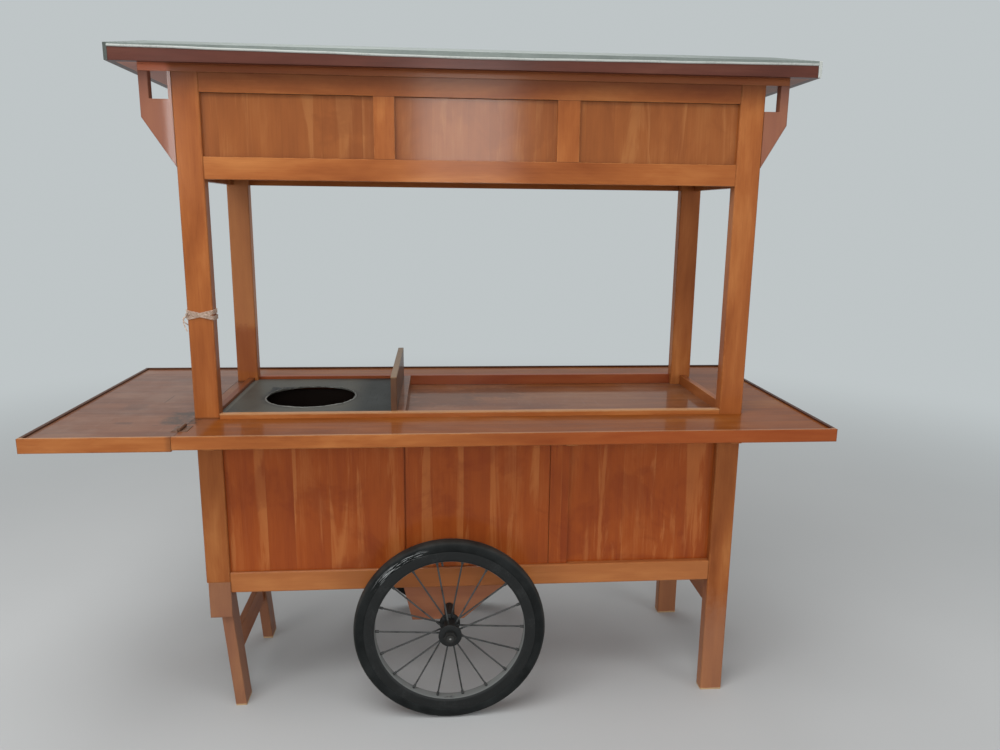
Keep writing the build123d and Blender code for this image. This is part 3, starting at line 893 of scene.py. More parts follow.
def plate(low: Point, high: Point, corner: float, ease: float, steps: int = 6) -> Surface:
    """Flat plate that lies level, with round corners and an eased top edge.

    Its outline goes round four quarter circles of the corner's radius, and each row of the grid is that
    outline drawn in by some length at some height; the first and last rows shrink to the middle.

    Args:
        low: Lowest corner of the box that it fills.
        high: Highest corner.
        corner: Radius of its corners.
        ease: Radius of its top edge.
        steps: Places in each corner.

    Returns:
        The plate.
    """
    middle, half = (np.add(low, high) / 2)[:2], (np.subtract(high, low) / 2)[:2]
    angle = np.linspace(0.0, math.pi / 2, steps)[None, :] + np.arange(4)[:, None] * math.pi / 2
    sign = np.array([[1, 1], [-1, 1], [-1, -1], [1, -1]])[:, None, :]
    way = np.stack([np.cos(angle), np.sin(angle)], axis=-1)
    drawn = np.array([1.0, 0.0, 0.0, 0.3 * ease, ease, 1.0])[:, None, None]
    height = np.array([low[2], low[2], high[2] - ease, high[2] - 0.3 * ease, high[2], high[2]])
    outline = (sign * (half - corner) + way * corner).reshape(1, -1, 2)
    inward = np.broadcast_to(way.reshape(1, -1, 2), outline.shape)
    rows = np.where(drawn == 1.0, 0.0, outline - inward * drawn) + middle
    points = np.concatenate([rows, np.broadcast_to(height[:, None, None], (*rows.shape[:2], 1))], axis=-1)
    return Surface(points, closed_columns=True)


def stud(place: Sequence[float], radius: float, height: float, sides: int = 14) -> Surface:
    """Low domed head that lies level: radius r cos t and height h sin t, for t from 0 to a quarter turn.

    Args:
        place: Middle of its foot.
        radius: Radius of its foot.
        height: How far it stands up.
        sides: Places round it.

    Returns:
        The head, closed underneath.
    """
    rise = np.linspace(0.0, math.pi / 2, 5)
    ring = np.concatenate([[0.0], radius * np.cos(rise)])
    level = np.concatenate([[0.0], height * np.sin(rise)])
    angle = np.linspace(0.0, FULL_TURN, sides, endpoint=False)[None, :]
    points = np.stack(
        [ring[:, None] * np.cos(angle), ring[:, None] * np.sin(angle), np.broadcast_to(level[:, None], (6, sides))],
        axis=-1,
    )
    return Surface(points + np.asarray(place, float), closed_columns=True)


def piece(
    name: str,
    surfaces: Iterable[Surface],
    material: bpy.types.Material,
    body: str,
    replaces: Sequence[str] = (),
    sharp: float = 40.0,
    recalc: bool = False,
) -> bpy.types.Object:
    """Turn surfaces into one finished piece of the cart.

    Args:
        name: The piece's name.
        surfaces: What it is made of.
        material: Its finish.
        body: The body that it moves with.
        replaces: Nodes that it stands for.
        sharp: Angle in degrees above which an edge stays sharp.
        recalc: Whether closed shells have their faces turned outwards.

    Returns:
        The piece.
    """
    parts = list(surfaces)
    counts = [part.points.shape[0] * part.points.shape[1] for part in parts]
    starts = np.concatenate([[0], np.cumsum(counts)[:-1]])
    points = np.concatenate([part.points.reshape(-1, 3) for part in parts])
    quads = np.concatenate([part.quads() + start for part, start in zip(parts, starts)])
    mesh = bpy.data.meshes.new(name)
    mesh.from_pydata(points.tolist(), [], quads.tolist())
    shell = bmesh.new()
    shell.from_mesh(mesh)
    bmesh.ops.remove_doubles(shell, verts=shell.verts, dist=1e-6)
    if recalc:
        bmesh.ops.recalc_face_normals(shell, faces=shell.faces)
    shell.to_mesh(mesh)
    shell.free()
    mesh.polygons.foreach_set("use_smooth", np.ones(len(mesh.polygons), bool))
    mesh.set_sharp_from_angle(angle=math.radians(sharp))
    mesh.materials.append(material)
    made = bpy.data.objects.new(name, mesh)
    bpy.context.scene.collection.objects.link(made)
    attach(made, body)
    if replaces:
        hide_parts(*replaces)
    log.info("%s: %d faces on %s", name, len(mesh.polygons), body)
    return made


def dress(node: bpy.types.Object, material: bpy.types.Material) -> None:
    """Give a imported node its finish.

    Args:
        node: The node's object.
        material: The finish.
    """
    node.data.materials.clear()
    node.data.materials.append(material)
    log.info("%s: %s", node.name, material.name)


@dataclass(frozen=True)
class Lamp:
    """Soft rectangular lamp, with its power in watts."""

    name: str
    place: Point
    aim: Point
    size: Span
    power: float

    def hang(self) -> None:
        """Hang the lamp in its place, facing the point that it aims at."""
        data = bpy.data.lights.new(self.name, "AREA")
        data.shape = "RECTANGLE"
        data.size, data.size_y = self.size
        data.energy = self.power
        made = bpy.data.objects.new(self.name, data)
        made.location = self.place
        made.rotation_euler = (Vector(self.aim) - Vector(self.place)).to_track_quat("-Z", "Y").to_euler()
        bpy.context.scene.collection.objects.link(made)


@dataclass
class Studio:
    """Camera at the photograph's angle, pale floor and soft light."""

    place: Point = (-0.0178, -2.5167, 1.5345)
    lens: float = 28.13
    sensor: float = 36.0
    down: float = 11.84
    right: float = 4.715
    roll: float = -0.615
    ambient: Colour = (0.36, 0.37, 0.375)
    backdrop: Colour = (0.52, 0.56, 0.57)
    floor: Colour = (0.50, 0.51, 0.51)
    floor_half: float = 30.0
    fade: Span = (1.8, 6.0)
    lamps: tuple[Lamp, ...] = (
        Lamp("key", (-1.0, -2.1, 4.4), (0.0, 0.0, 0.9), (3.0, 3.0), 135.0),
        Lamp("right", (4.3, -3.6, 1.5), (0.0, 0.0, 0.7), (2.2, 2.0), 55.0),
        Lamp("left", (-4.3, -3.6, 1.5), (0.0, 0.0, 0.7), (2.2, 2.0), 45.0),
        Lamp("window", (0.23, -4.7, 2.2), (0.1, -0.27, 1.7), (0.8, 1.0), 22.0),
        Lamp("doorway", (-2.112, -4.7, 2.2), (-0.74, -0.27, 1.8), (0.06, 1.2), 3.2),
        Lamp("behind", (0.0, 1.6, 4.4), (0.0, 0.0, 1.0), (3.0, 3.0), 55.0),
    )

    def build(self) -> None:
        """Make the camera, the floor, the world and the lamps."""
        self.camera()
        self.ground()
        self.sky()
        for lamp in self.lamps:
            lamp.hang()
        bpy.context.scene.view_settings.view_transform = "Standard"

    def camera(self) -> None:
        """Aim the camera: pitched down, turned to the right, then rolled about its own line of sight."""
        data = bpy.data.cameras.new("camera")
        data.lens = self.lens
        data.sensor_width = self.sensor
        made = bpy.data.objects.new("camera", data)
        pitch, yaw, roll = (math.radians(angle) for angle in (self.down, self.right, self.roll))
        aim = Vector((math.sin(yaw) * math.cos(pitch), math.cos(yaw) * math.cos(pitch), -math.sin(pitch)))
        level = Vector((math.cos(yaw), -math.sin(yaw), 0.0))
        low = aim.cross(level)
        side = math.cos(roll) * level + math.sin(roll) * low
        up = math.sin(roll) * level - math.cos(roll) * low
        turn = Matrix((side, up, -aim)).transposed()
        made.matrix_world = Matrix.Translation(Vector(self.place)) @ turn.to_4x4()
        bpy.context.scene.collection.objects.link(made)
        bpy.context.scene.camera = made

    def ground(self) -> None:
        """Lay a wide floor under the wheels that turns into the backdrop far from the cart."""
        half = self.floor_half
        flat = np.array([[[-half, -half, 0.0], [-half, half, 0.0]], [[half, -half, 0.0], [half, half, 0.0]]])
        mesh = bpy.data.meshes.new("floor")
        mesh.from_pydata(flat.reshape(-1, 3).tolist(), [], Surface(flat).quads().tolist())
        recipe = Recipe("floor")
        clouds = recipe.noise(recipe.place, 1.5, 3.0)
        near = recipe.mix(clouds, self.floor, tuple(part * 1.05 for part in self.floor))
        x, y, _ = recipe.axes(recipe.place)
        far = (x * x + y * y).root().step(*self.fade) * recipe.seen()
        recipe.finish(
            Base_Color=recipe.mix(far, near, BLACK),
            Emission_Color=recipe.mix(far, BLACK, self.backdrop),
            Emission_Strength=1.0,
            Roughness=0.9,
            Specular_IOR_Level=0.0,
        )
        mesh.materials.append(recipe.material)
        made = bpy.data.objects.new("floor", mesh)
        bpy.context.scene.collection.objects.link(made)

    def sky(self) -> None:
        """Light the world softly, and show a pale backdrop to the camera and in reflections."""
        world = bpy.data.worlds.new("studio")
        world.use_nodes = True
        sky = Tree(world.node_tree)
        sky.tree.nodes.clear()
        light, shown = (
            sky.node("ShaderNodeBackground", inputs={"Color": colour}).outputs[0]
            for colour in (self.ambient, self.backdrop)
        )
        mixed = sky.node("ShaderNodeMixShader", inputs={0: sky.seen(), 1: light, 2: shown})
        sky.node("ShaderNodeOutputWorld", inputs={0: mixed.outputs[0]})
        bpy.context.scene.world = world


@dataclass
class Joinery:
    """The cart's timber: every wooden node, with its finish and the way that its grain runs."""

    nodes: dict[str, bpy.types.Object]
    frame_teak: Teak = Teak(
        "frame_teak", (0.21, 0.052, 0.012), (0.34, 0.104, 0.026), (0.50, 0.195, 0.058),
        figure=0.5, knots=0.3, coat=0.2, wear=0.8, ease=5.0 * MM,
    )
    panel_teak: Teak = Teak(
        "panel_teak", (0.205, 0.033, 0.009), (0.345, 0.074, 0.013), (0.49, 0.165, 0.046),
        stave=0.082, stave_range=0.15, figure=0.35, streaks=0.62, coat=0.2, wear=0.3,
    )
    canopy_teak: Teak = Teak(
        "canopy_teak", (0.185, 0.048, 0.011), (0.275, 0.083, 0.019), (0.38, 0.148, 0.044),
        stave=0.090, stave_range=0.15, figure=0.32, streaks=0.55, coat=0.4, gloss=0.12, wear=0.3,
    )
    deck_teak: Teak = Teak(
        "deck_teak", (0.120, 0.028, 0.005), (0.235, 0.062, 0.007), (0.35, 0.125, 0.026),
        stave=0.115, stave_range=0.25, figure=0.4, coat=0.22, gloss=0.10, dust=0.07, wear=0.3,
    )
    tray_teak: Teak = Teak(
        "tray_teak", (0.100, 0.026, 0.008), (0.205, 0.066, 0.017), (0.31, 0.130, 0.048),
        stave=0.115, stave_range=0.25, figure=0.4, coat=0.4, gloss=0.10, dust=0.18, wear=0.3,
    )
    leaf_teak: Teak = Teak(
        "leaf_teak", (0.085, 0.026, 0.011), (0.165, 0.058, 0.024), (0.26, 0.115, 0.058),
        stave=0.115, stave_range=0.25, figure=0.4, coat=0.4, gloss=0.10, dust=0.24, wear=0.3,
    )
    fascia_teak: Teak = Teak(
        "fascia_teak", (0.050, 0.014, 0.009), (0.095, 0.028, 0.018), (0.15, 0.055, 0.035),
        figure=0.4, gloss=0.2, wear=0.2,
    )
    # pale: worn pale feet, and a painted highlight on the front rim's top and on the partition's top edge.
    pale: Colour = (0.60, 0.42, 0.24)
    grime: Colour = (0.055, 0.022, 0.012)
    lip_grime: Colour = (0.030, 0.012, 0.008)
    soot: Colour = (0.022, 0.020, 0.018)
    # Painted shade under the eaves: dark reddish, fading downwards from the tops of the posts, brackets and canopy
    # frames.
    smoke: Colour = (0.085, 0.022, 0.010)
    scorch: Colour = (0.034, 0.020, 0.012)
    smudge: Colour = (0.06, 0.030, 0.02)
    spill: Colour = (0.105, 0.034, 0.010)
    # Width of the deck's rim, and how far the canopy's rails lap over its panels.
    rim_width: float = 14.0 * MM
    lap: float = 20.0 * MM
    # Heights just under the upper faces of the deck and of the tray's floor.
    deck_face: float = 0.93
    tray_face: float = 0.86
    # Spans along X and Y of the head frame's sooty bay, and radius of the soot on the floor, both by the stove.
    stove_bay: tuple[Span, Span] = ((-0.70, -0.155), (-0.228, 0.228))
    sooted: float = 0.27

    def build(self) -> None:
        """Dress every wooden node."""
        self.frames()
        self.canopy()
        self.panels()
        self.boards()
        self.members()

    def frames(self) -> None:
        """Dress the rims and the roof's fascia, which are mitred frames, and the head frame."""
        rim_low, rim_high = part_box("deck_rim")
        leaf_low, leaf_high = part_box("leaf_rim")
        around = Mitre((leaf_low.x, leaf_low.y), (rim_high.x, rim_high.y))
        top, lip = rim_high.z, rim_low.y + self.rim_width
        # Painted shade darkens the top of the side and back rims along the lip's inner face; a painted highlight lines
        # the front rim's top.
        shaded_lip = Patch(self.lip_grime, 0.85, ragged=2.0 * MM, y=(lip, FAR), z=(top - 5.5 * MM, FAR))
        lip_highlight = Patch(self.pale, 0.35, y=(rim_low.y + 2.0 * MM, lip), z=(top - 0.5 * MM, FAR))
        end = Patch(self.grime, 0.35, 8.0 * MM, 10.0 * MM, x=(leaf_high.x - 12.0 * MM, FAR))
        red = Patch((0.27, 0.045, 0.008), 0.6, 300.0 * MM, 60.0 * MM, x=(0.25, FAR))
        rims = {"deck_rim": (red, shaded_lip, lip_highlight), "leaf_rim": (shaded_lip, lip_highlight, end)}
        for seed, (name, marks) in enumerate(rims.items()):
            finish = self.frame_teak.material(Grain.ALONG_X, 1.0 + seed, around, Grain.ALONG_Y, marks=marks)
            dress(self.nodes[name], finish)
        low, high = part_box("roof_fascia")
        around = Mitre((low.x, low.y), (high.x, high.y))
        dress(self.nodes["roof_fascia"], self.fascia_teak.material(Grain.ALONG_X, 3.0, around, Grain.ALONG_Y))
        along, across = self.stove_bay
        smoked = Patch(self.soot, 0.97, x=along, y=across)
        dress(self.nodes["head_frame"], self.frame_teak.material(Grain.ALONG_X, 6.0, marks=(smoked,)))

    def canopy(self) -> None:
        """Dress the canopy's two framed fronts and the boards under its roof."""
        panel_low, panel_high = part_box("canopy_panel_front")
        rails = Rails(panel_low.z + self.lap, panel_high.z - self.lap)
        for seed, side in enumerate(Side):
            name = f"canopy_frame_{side.word}"
            # The canopy frames get painted shade under the eaves.
            marks = self.smoked(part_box(name)[1].z)
            finish = self.frame_teak.material(Grain.ALONG_X, 4.0 + seed, rails, Grain.ALONG_Z, marks=marks)
            dress(self.nodes[name], finish)
        # Roof soffit: painted shade between the posts, under the eaves, and painted reflected light on its left
        # overhang.
        dark = Patch((0.17, 0.050, 0.025), 0.65, 30.0 * MM, x=(-0.74, FAR))
        overhang_light = Patch((0.52, 0.17, 0.10), 0.7, 10.0 * MM, x=(-FAR, -0.72))
        dress(self.nodes["roof_soffit"], self.frame_teak.material(Grain.ALONG_X, 51.3, marks=(dark, overhang_light)))

    def panels(self) -> None:
        """Dress the panels and doors, which are glued up from upright staves."""
        # Finish, first seed, axis that the staves follow each other along, and nodes.
        table = (
            (self.panel_teak, 10.0, 0, ("front_panel_left", "front_panel_right")),
            (self.canopy_teak, 14.0, 0, ("canopy_panel_front", "canopy_panel_back")),
            (self.panel_teak, 20.0, 1, ("side_panel_left", "side_panel_right")),
            (self.canopy_teak, 24.0, 1, ("canopy_end_left", "canopy_end_right")),
            (self.panel_teak, 30.0, 0, ("door_left", "door_right")),
        )
        for teak, first, across, names in table:
            for number, name in enumerate(names):
                marks: Sequence[Mark] = ()
                if name.startswith("door_"):
                    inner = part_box(name)[0].y + 4.0 * MM
                    marks = (Patch(self.soot, 0.95, 3.0 * MM, 8.0 * MM, x=(-FAR, -0.12), y=(-FAR, inner)),)
                finish = teak.material(Grain.ALONG_Z, first + number * 1.3, across=across, marks=marks)
                dress(self.nodes[name], finish)

    def boards(self) -> None:
        """Dress the level boards: deck, leaf, tray and the cabinet's floor."""
        dull = Patch((0.205, 0.095, 0.055), 0.7, 15.0 * MM, x=(-FAR, -0.655), z=(self.deck_face, FAR))
        below = Ring(STOVE_HOLE, 0.0, self.sooted, self.soot, 0.85, 70.0 * MM, flat=True, speck=0.30)
        table = {
            "deck_board": (self.deck_teak, 40.0, (dull, *self.burns())),
            "leaf_board": (self.leaf_teak, 42.6, self.burns()),
            "tray_floor": (self.tray_teak, 41.3, self.spills()),
            "floor_board": (self.panel_teak, 50.0, (below,)),
        }
        for name, (teak, seed, marks) in table.items():
            dress(self.nodes[name], teak.material(Grain.ALONG_X, seed, across=1, marks=marks))

    def burns(self) -> list[Mark]:
        """Mark the leaf, and the deck beside it.

        Returns:
            A scorched blotch over the seam, then two scratches and two smudges on the leaf.
        """
        # Colour, share, soft edge and raggedness in mm, and the spans along X and Y.
        table = (
            (self.scorch, 0.8, 14.0, 70.0, (-0.795, -0.700), (-0.325, -0.190)),
            (self.grime, 0.7, 1.2, 5.0, (-0.869, -0.865), (-0.070, 0.030)),
            (self.grime, 0.6, 1.2, 5.0, (-0.735, -0.732), (-0.395, -0.335)),
            (self.smudge, 0.42, 5.0, 30.0, (-0.926, -0.880), (-0.317, -0.295)),
            (self.smudge, 0.36, 12.0, 50.0, (-0.965, -0.905), (-0.150, -0.080)),
        )
        return [
            Patch(colour, share, soft * MM, ragged * MM, x, y, (self.deck_face, FAR))
            for colour, share, soft, ragged, x, y in table
        ]

    def spills(self) -> list[Mark]:
        """Mark the tray's floor.

        Returns:
            Two dark patches that look wet.
        """
        table = ((0.6, (-0.100, 0.110), (-0.060, 0.130)), (0.5, (0.080, 0.270), (0.030, 0.190)))
        soft, ragged = 35.0 * MM, 240.0 * MM
        return [Patch(self.spill, share, soft, ragged, x, y, (self.tray_face, FAR)) for share, x, y in table]

    def smoked(self, top: float) -> list[Mark]:
        """Dark reddish painted shade under the eaves, fading out downwards from the posts' top."""
        return [Patch(self.smoke, 0.62, 46.0 * MM, 24.0 * MM, z=(top - 42.0 * MM, FAR))]

    def members(self) -> None:
        """Dress the single timbers, each with its grain along its longest side."""
        kinds = ("post_", "sill_", "curb_", "bracket_", "stand_leg", "stand_block", "stand_stretcher")
        kinds += ("axle_hanger", "partition", "end_stretcher")
        glossy = replace(self.frame_teak, gloss=0.05, coat=0.4)
        seed = 60.0
        for name, node in sorted(self.nodes.items()):
            if not name.startswith(kinds) or name == "post_lashing":
                continue
            low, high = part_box(name)
            size = high - low
            grain = list(Grain)[max(range(3), key=lambda axis: size[axis])]
            teak = glossy if name.startswith("bracket_") else self.frame_teak
            dress(node, teak.material(grain, seed, marks=self.wear(name, high.z)))
            seed += 1.37

    def wear(self, name: str, top: float) -> list[Mark]:
        """Mark one timber.

        Args:
            name: Its node.
            top: Height of its top.

        Returns:
            Painted shade under the eaves, then tints (a painted reflection on the brackets, painted light on the axle
            hanger, painted shade on the partition), lower legs pale with dust and painted floor light, pale feet, top
            edges bright with wear and painted highlight, and a dark band at the deck's height.
        """
        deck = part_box("deck_board")[1].z
        deck_band = (deck - 2.0 * MM, deck + 5.0 * MM)
        whole = (0.1, FAR)
        # Starts of the nodes' names, and what is painted on them, in order.
        table = (
            # Brackets: a pinkish tint over their whole face, a painted reflection.
            (("bracket_",), Patch((0.21, 0.095, 0.075), 0.65, z=(-FAR, top))),
            (("curb_left",), Patch((0.11, 0.028, 0.014), 0.65, z=(-FAR, top + 10.0 * MM))),
            # Stand legs and blocks: paler low down, with dust and with painted light bounced up from the floor.
            (("stand_leg", "stand_block"), Patch((0.20, 0.125, 0.095), 0.5, 60.0 * MM, 80.0 * MM, z=(-FAR, 0.50))),
            (("sill_front",), Patch((0.52, 0.20, 0.07), 0.35, z=whole)),
            (("post_left_back",), Patch((0.50, 0.215, 0.090), 0.5, 20.0 * MM, 60.0 * MM, z=(1.13, FAR))),
            (("post_left_back",), Patch((0.28, 0.085, 0.035), 0.5, 8.0 * MM, 90.0 * MM, z=(0.97, 1.13))),
            (("post_right",), Patch((0.36, 0.21, 0.14), 0.35, 90.0 * MM, 160.0 * MM, z=(-FAR, 0.30))),
            (("curb_back",), Patch((0.24, 0.040, 0.022), 0.5, z=whole)),
            (("post_right", "stand_leg"), Patch(self.pale, 0.85, 1.5 * MM, 6.0 * MM, z=(-FAR, 5.0 * MM))),
            # Axle hanger: a pale pink tint all over, painted light.
            (("axle_hanger",), Patch((0.42, 0.19, 0.13), 0.45, z=(-FAR, top))),
            # Partition: darkened all over as painted shade on its faces, with a painted highlight on its top edge.
            (("partition",), Patch((0.060, 0.042, 0.030), 0.85, z=whole)),
            (("partition",), Patch(self.pale, 0.25, ragged=2.0 * MM, z=(top - 3.0 * MM, FAR))),
            # Front curb: a pale top edge, worn and with a painted highlight.
            (("curb_front",), Patch((0.50, 0.30, 0.15), 0.5, ragged=4.0 * MM, z=(top - 3.5 * MM, FAR))),
            # Left posts and curb: darker in a thin band at the deck's height.
            (("post_left", "curb_left"), Patch(self.grime, 0.6, 2.0 * MM, 5.0 * MM, z=deck_band)),
        )
        # Posts and brackets get painted shade under the eaves.
        smoke = self.smoked(top) if name.startswith(("post_", "bracket_")) else []
        return smoke + [patch for kinds, patch in table if name.startswith(kinds)]


@dataclass
class Wheel:
    """One spoked wheel: tyre, rim with its channel, slender spokes with their nipples, hub and valve."""

    side: Side
    iron: Paint
    rubber: Rubber
    spokes: int = 18
    spoke_radius: float = 2.6 * MM
    hub_radius: float = 21.0 * MM
    flange_radius: float = 35.0 * MM
    rim_depth: float = 26.0 * MM
    rim_wall: float = 3.0 * MM
    spoke_spread: float = 22.0 * MM
    bore: float = 11.05 * MM
    valve_angle: float = math.radians(96.0)
    # Power of the tyre's section, 1 for a plain oval and less for a squarer one, and places round the wheel.
    squared: float = 0.72
    steps: int = 192
    # Pale grey of the rim's inner face: dust, and painted light that this face catches from above.
    rim_dust: Colour = (0.19, 0.20, 0.195)
    spoke_dust: Colour = (0.070, 0.073, 0.072)

    def __post_init__(self) -> None:
        """Read the wheel's centre and sizes from its nodes."""
        low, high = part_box(f"tyre_{self.side.word}")
        self.centre = (low + high) / 2
        self.crown = (high.z - low.z) / 2
        self.half = (high.y - low.y) / 2
        low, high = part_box(f"wheel_{self.side.word}")
        self.seat = (high.z - low.z) / 2
        out, inside = sorted((abs(low.y), abs(high.y)), reverse=True)
        self.hub_out = out - abs(self.centre.y)
        self.hub_in = abs(self.centre.y) - inside

    def set(self, surface: Surface) -> Surface:
        """Move a surface from the wheel's own space, where +Y is outwards, to its place on the cart.

        Args:
            surface: The surface in the wheel's own space.

        Returns:
            The surface on the cart.
        """
        points = surface.points * np.array([1.0, self.side.value, 1.0]) + np.array(self.centre)
        flip = surface.flip if self.side is Side.BACK else not surface.flip
        return Surface(points, surface.closed_rows, surface.closed_columns, flip)

    def tyre_section(self, places: int = 40) -> list[Span]:
        """Section of the tyre.

        Going round by an angle a, the radius is m + h s(cos a) and the place is w s(sin a), where
        s(x) is x to a power under 1 with its sign kept, which squares a circle slightly.

        Args:
            places: Number of points round the section.

        Returns:
            Radius and place along Y of each point.
        """
        angle = np.linspace(0.0, FULL_TURN, places, endpoint=False)
        middle, height = (self.crown + self.seat) / 2, (self.crown - self.seat) / 2
        across, around = (np.sign(part) * np.abs(part) ** self.squared for part in (np.cos(angle), np.sin(angle)))
        return list(zip(middle + height * across, self.half * around))

    def build(self) -> None:
        """Make the wheel's pieces."""
        word = self.side.word
        body = f"wheel_{word}"
        tyre = [self.set(turned(self.tyre_section(), self.steps))]
        finish = self.rubber.material(self.centre)
        piece(f"tyre_smooth_{word}", tyre, finish, body, [f"tyre_{word}"], sharp=60.0, recalc=True)
        inner = self.seat - self.rim_depth
        place = tuple(self.centre)
        dusty = (
            Ring(place, self.hub_radius + 20.0 * MM, inner - 3.0 * MM, self.spoke_dust, 0.7, speck=0.40),
            # The rim's inner face is painted pale: dust, and painted light.
            Ring(place, inner - 0.8 * MM, inner + 1.0 * MM, self.rim_dust, 0.9, speck=0.30),
        )
        finish = self.iron.material(dusty)
        iron = [self.rim(), *self.spoke_set(), self.hub(), *self.valve()]
        piece(f"wheel_iron_{word}", iron, finish, body, [f"wheel_{word}"], sharp=35.0, recalc=True)

    def rim(self) -> Surface:
        """Turn the channel rim: a flat seat under the tyre, two low flanges and a wide inner face.

        Returns:
            The rim, closed both ways.
        """
        inner, lip = self.seat - self.rim_depth, self.seat + 7.0 * MM
        width, wall = self.half - 2.0 * MM, self.rim_wall
        half = [
            (inner, width * 0.72), (inner + 7.0 * MM, width * 0.94), (self.seat - 3.0 * MM, width * 0.98),
            (lip, width), (lip, width - wall), (self.seat - 6.0 * MM, width * 0.62),
        ]
        outline = half + [(radius, -place) for radius, place in reversed(half)]
        return self.set(turned(rounded(outline, 1.2 * MM), self.steps))

    def spoke_set(self) -> list[Surface]:
        """Stretch the spokes in two cones from the hub to the rim, each with a nipple at its outer end.

        Returns:
            One rod for each spoke.
        """
        number = np.arange(self.spokes)
        angle = number * FULL_TURN / self.spokes
        way = np.stack([np.cos(angle), np.zeros(self.spokes), np.sin(angle)], axis=1)
        lean = np.where(number % 2, 1.0, -1.0)[:, None] * np.array([[0.0, 1.0, 0.0]])
        start = way * (self.hub_radius - 4.0 * MM) + lean * self.spoke_spread
        end = way * (self.seat - 24.0 * MM) + lean * 1.0 * MM
        thick, nipple = self.spoke_radius, self.spoke_radius + 1.6 * MM
        radii = [(0.0, thick), (0.93, thick), (0.935, nipple), (1.0, nipple)]
        return [self.set(rod) for rod in rods(start, end, radii)]

    def hub(self) -> Surface:
        """Turn the spool-shaped hub, with a wide outer flange round the axle.

        Returns:
            The hub, closed both ways.
        """
        bore, flange, waist = self.bore, self.flange_radius, self.hub_radius
        out, inside = self.hub_out, -self.hub_in
        outline = [
            (bore, inside), (flange - 3.0 * MM, inside), (flange - 3.0 * MM, inside + 5.0 * MM),
            (waist, inside + 9.0 * MM), (waist, out - 16.0 * MM), (flange, out - 9.0 * MM),
            (flange, out - 2.0 * MM), (bore + 8.0 * MM, out), (bore, out),
        ]
        return self.set(turned(rounded(outline, 1.5 * MM), 64))

    def valve(self) -> list[Surface]:
        """Stand the air valve inwards from the rim.

        Returns:
            The valve as one rod, with its nut, stem and cap.
        """
        way = np.array([[math.cos(self.valve_angle), 0.0, math.sin(self.valve_angle)]])
        start, end = way * (self.seat - 25.0 * MM), way * (self.seat - 44.0 * MM)
        nut, stem, cap, tip = 4.2 * MM, 2.8 * MM, 3.6 * MM, 3.2 * MM
        radii = [(0.0, nut), (0.12, nut), (0.14, stem), (0.6, stem), (0.62, cap), (1.0, tip)]
        return [self.set(rod) for rod in rods(start, end, radii, 16)]


@dataclass
class StoveTop:
    """Zinc sheet over the stove, with its folded hems, burnt hole and torn rim."""

    node: bpy.types.Object
    hole: Point = STOVE_HOLE
    radius: float = 141.0 * MM
    hem: float = 15.0 * MM
    bright: Colour = (0.155, 0.155, 0.135)
    burnt: Colour = (0.020, 0.016, 0.013)
    shaded: Colour = (0.012, 0.013, 0.011)
    hollow: Colour = (0.004, 0.003, 0.003)
    lift: float = 9.0 * MM
    metal: SheetMetal = SheetMetal("zinc", (0.105, 0.096, 0.075), (0.045, 0.043, 0.035), rough=0.5, metallic=0.12)
    torn: SheetMetal = SheetMetal(
        "zinc_burr", (0.30, 0.30, 0.27), (0.10, 0.10, 0.09), rough=0.4, metallic=0.5, cloud=30.0, dent=0.4 * MM
    )

    def build(self) -> None:
        """Dress the sheet and add the raised burr round its hole."""
        low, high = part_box(self.node.name)
        x, y, _ = self.hole
        marks = (
            Patch(self.bright, 0.6, ragged=2.0 * MM, x=(-FAR, low.x + self.hem)),
            Patch(self.bright, 0.6, ragged=2.0 * MM, y=(-FAR, low.y + self.hem * 0.7)),
            Patch(self.shaded, 0.96, 50.0 * MM, x=(x + self.radius, FAR)),
            Ring(self.hole, 0.0, self.radius + 14.0 * MM, self.burnt, 0.8, 12.0 * MM, flat=True, speck=0.45),
            # A near-black ragged patch by the hole's back left edge: painted shade in a hollow.
            Patch(
                self.hollow, 0.9, 0.8 * MM, 60.0 * MM,
                x=(x - self.radius - 6.0 * MM, x - 62.0 * MM), y=(y + 38.0 * MM, y + 142.0 * MM),
            ),
        )
        dress(self.node, self.metal.material(marks))
        piece("stove_burr", [self.burr(high.z)], self.torn.material(), "cart", sharp=60.0, recalc=True)

    def burr(self, top: float, steps: int = 240) -> Surface:
        """Curl a ragged lip up round the hole.

        At an angle a its height is h (0.5 + a sum of sines of 3a, 7a, 13a, 29a and 53a) (0.22 + 0.39 (1 + sin a)),
        and the section goes up inside the hole's edge, over, and down onto the sheet.

        Args:
            top: Height of the sheet.
            steps: Places round the hole.

        Returns:
            The lip, closed both ways.
        """
        angle = np.linspace(0.0, FULL_TURN, steps, endpoint=False)
        waves = ((3, 0.16, 0.4), (7, 0.12, 2.1), (13, 0.10, 1.3), (29, 0.09, 0.2), (53, 0.07, 2.9))
        ragged = sum(size * np.sin(turns * angle + phase) for turns, size, phase in waves)
        lift = self.lift * np.clip(0.50 + ragged * 1.2, 0.06, 1.0) * (0.22 + 0.39 * (1.0 + np.sin(angle)))
        zero = np.zeros(steps)
        section = (
            (zero - 0.9 * MM, zero - 1.5 * MM),
            (-0.9 * MM - 0.25 * lift, 0.55 * lift),
            (-0.4 * MM - 0.30 * lift, lift),
            (0.5 * MM - 0.10 * lift, lift - 0.3 * MM),
            (zero + 0.9 * MM, 0.35 * lift),
            (zero + 3.0 * MM, zero + 0.4 * MM),
            (zero + 3.2 * MM, zero - 0.2 * MM),
        )
        radius = self.radius + np.stack([part for part, _ in section], axis=1)
        height = top + np.stack([part for _, part in section], axis=1)
        x, y, _ = self.hole
        points = np.stack([x + radius * np.cos(angle)[:, None], y + radius * np.sin(angle)[:, None], height], axis=-1)
        return Surface(points, closed_rows=True, closed_columns=True)


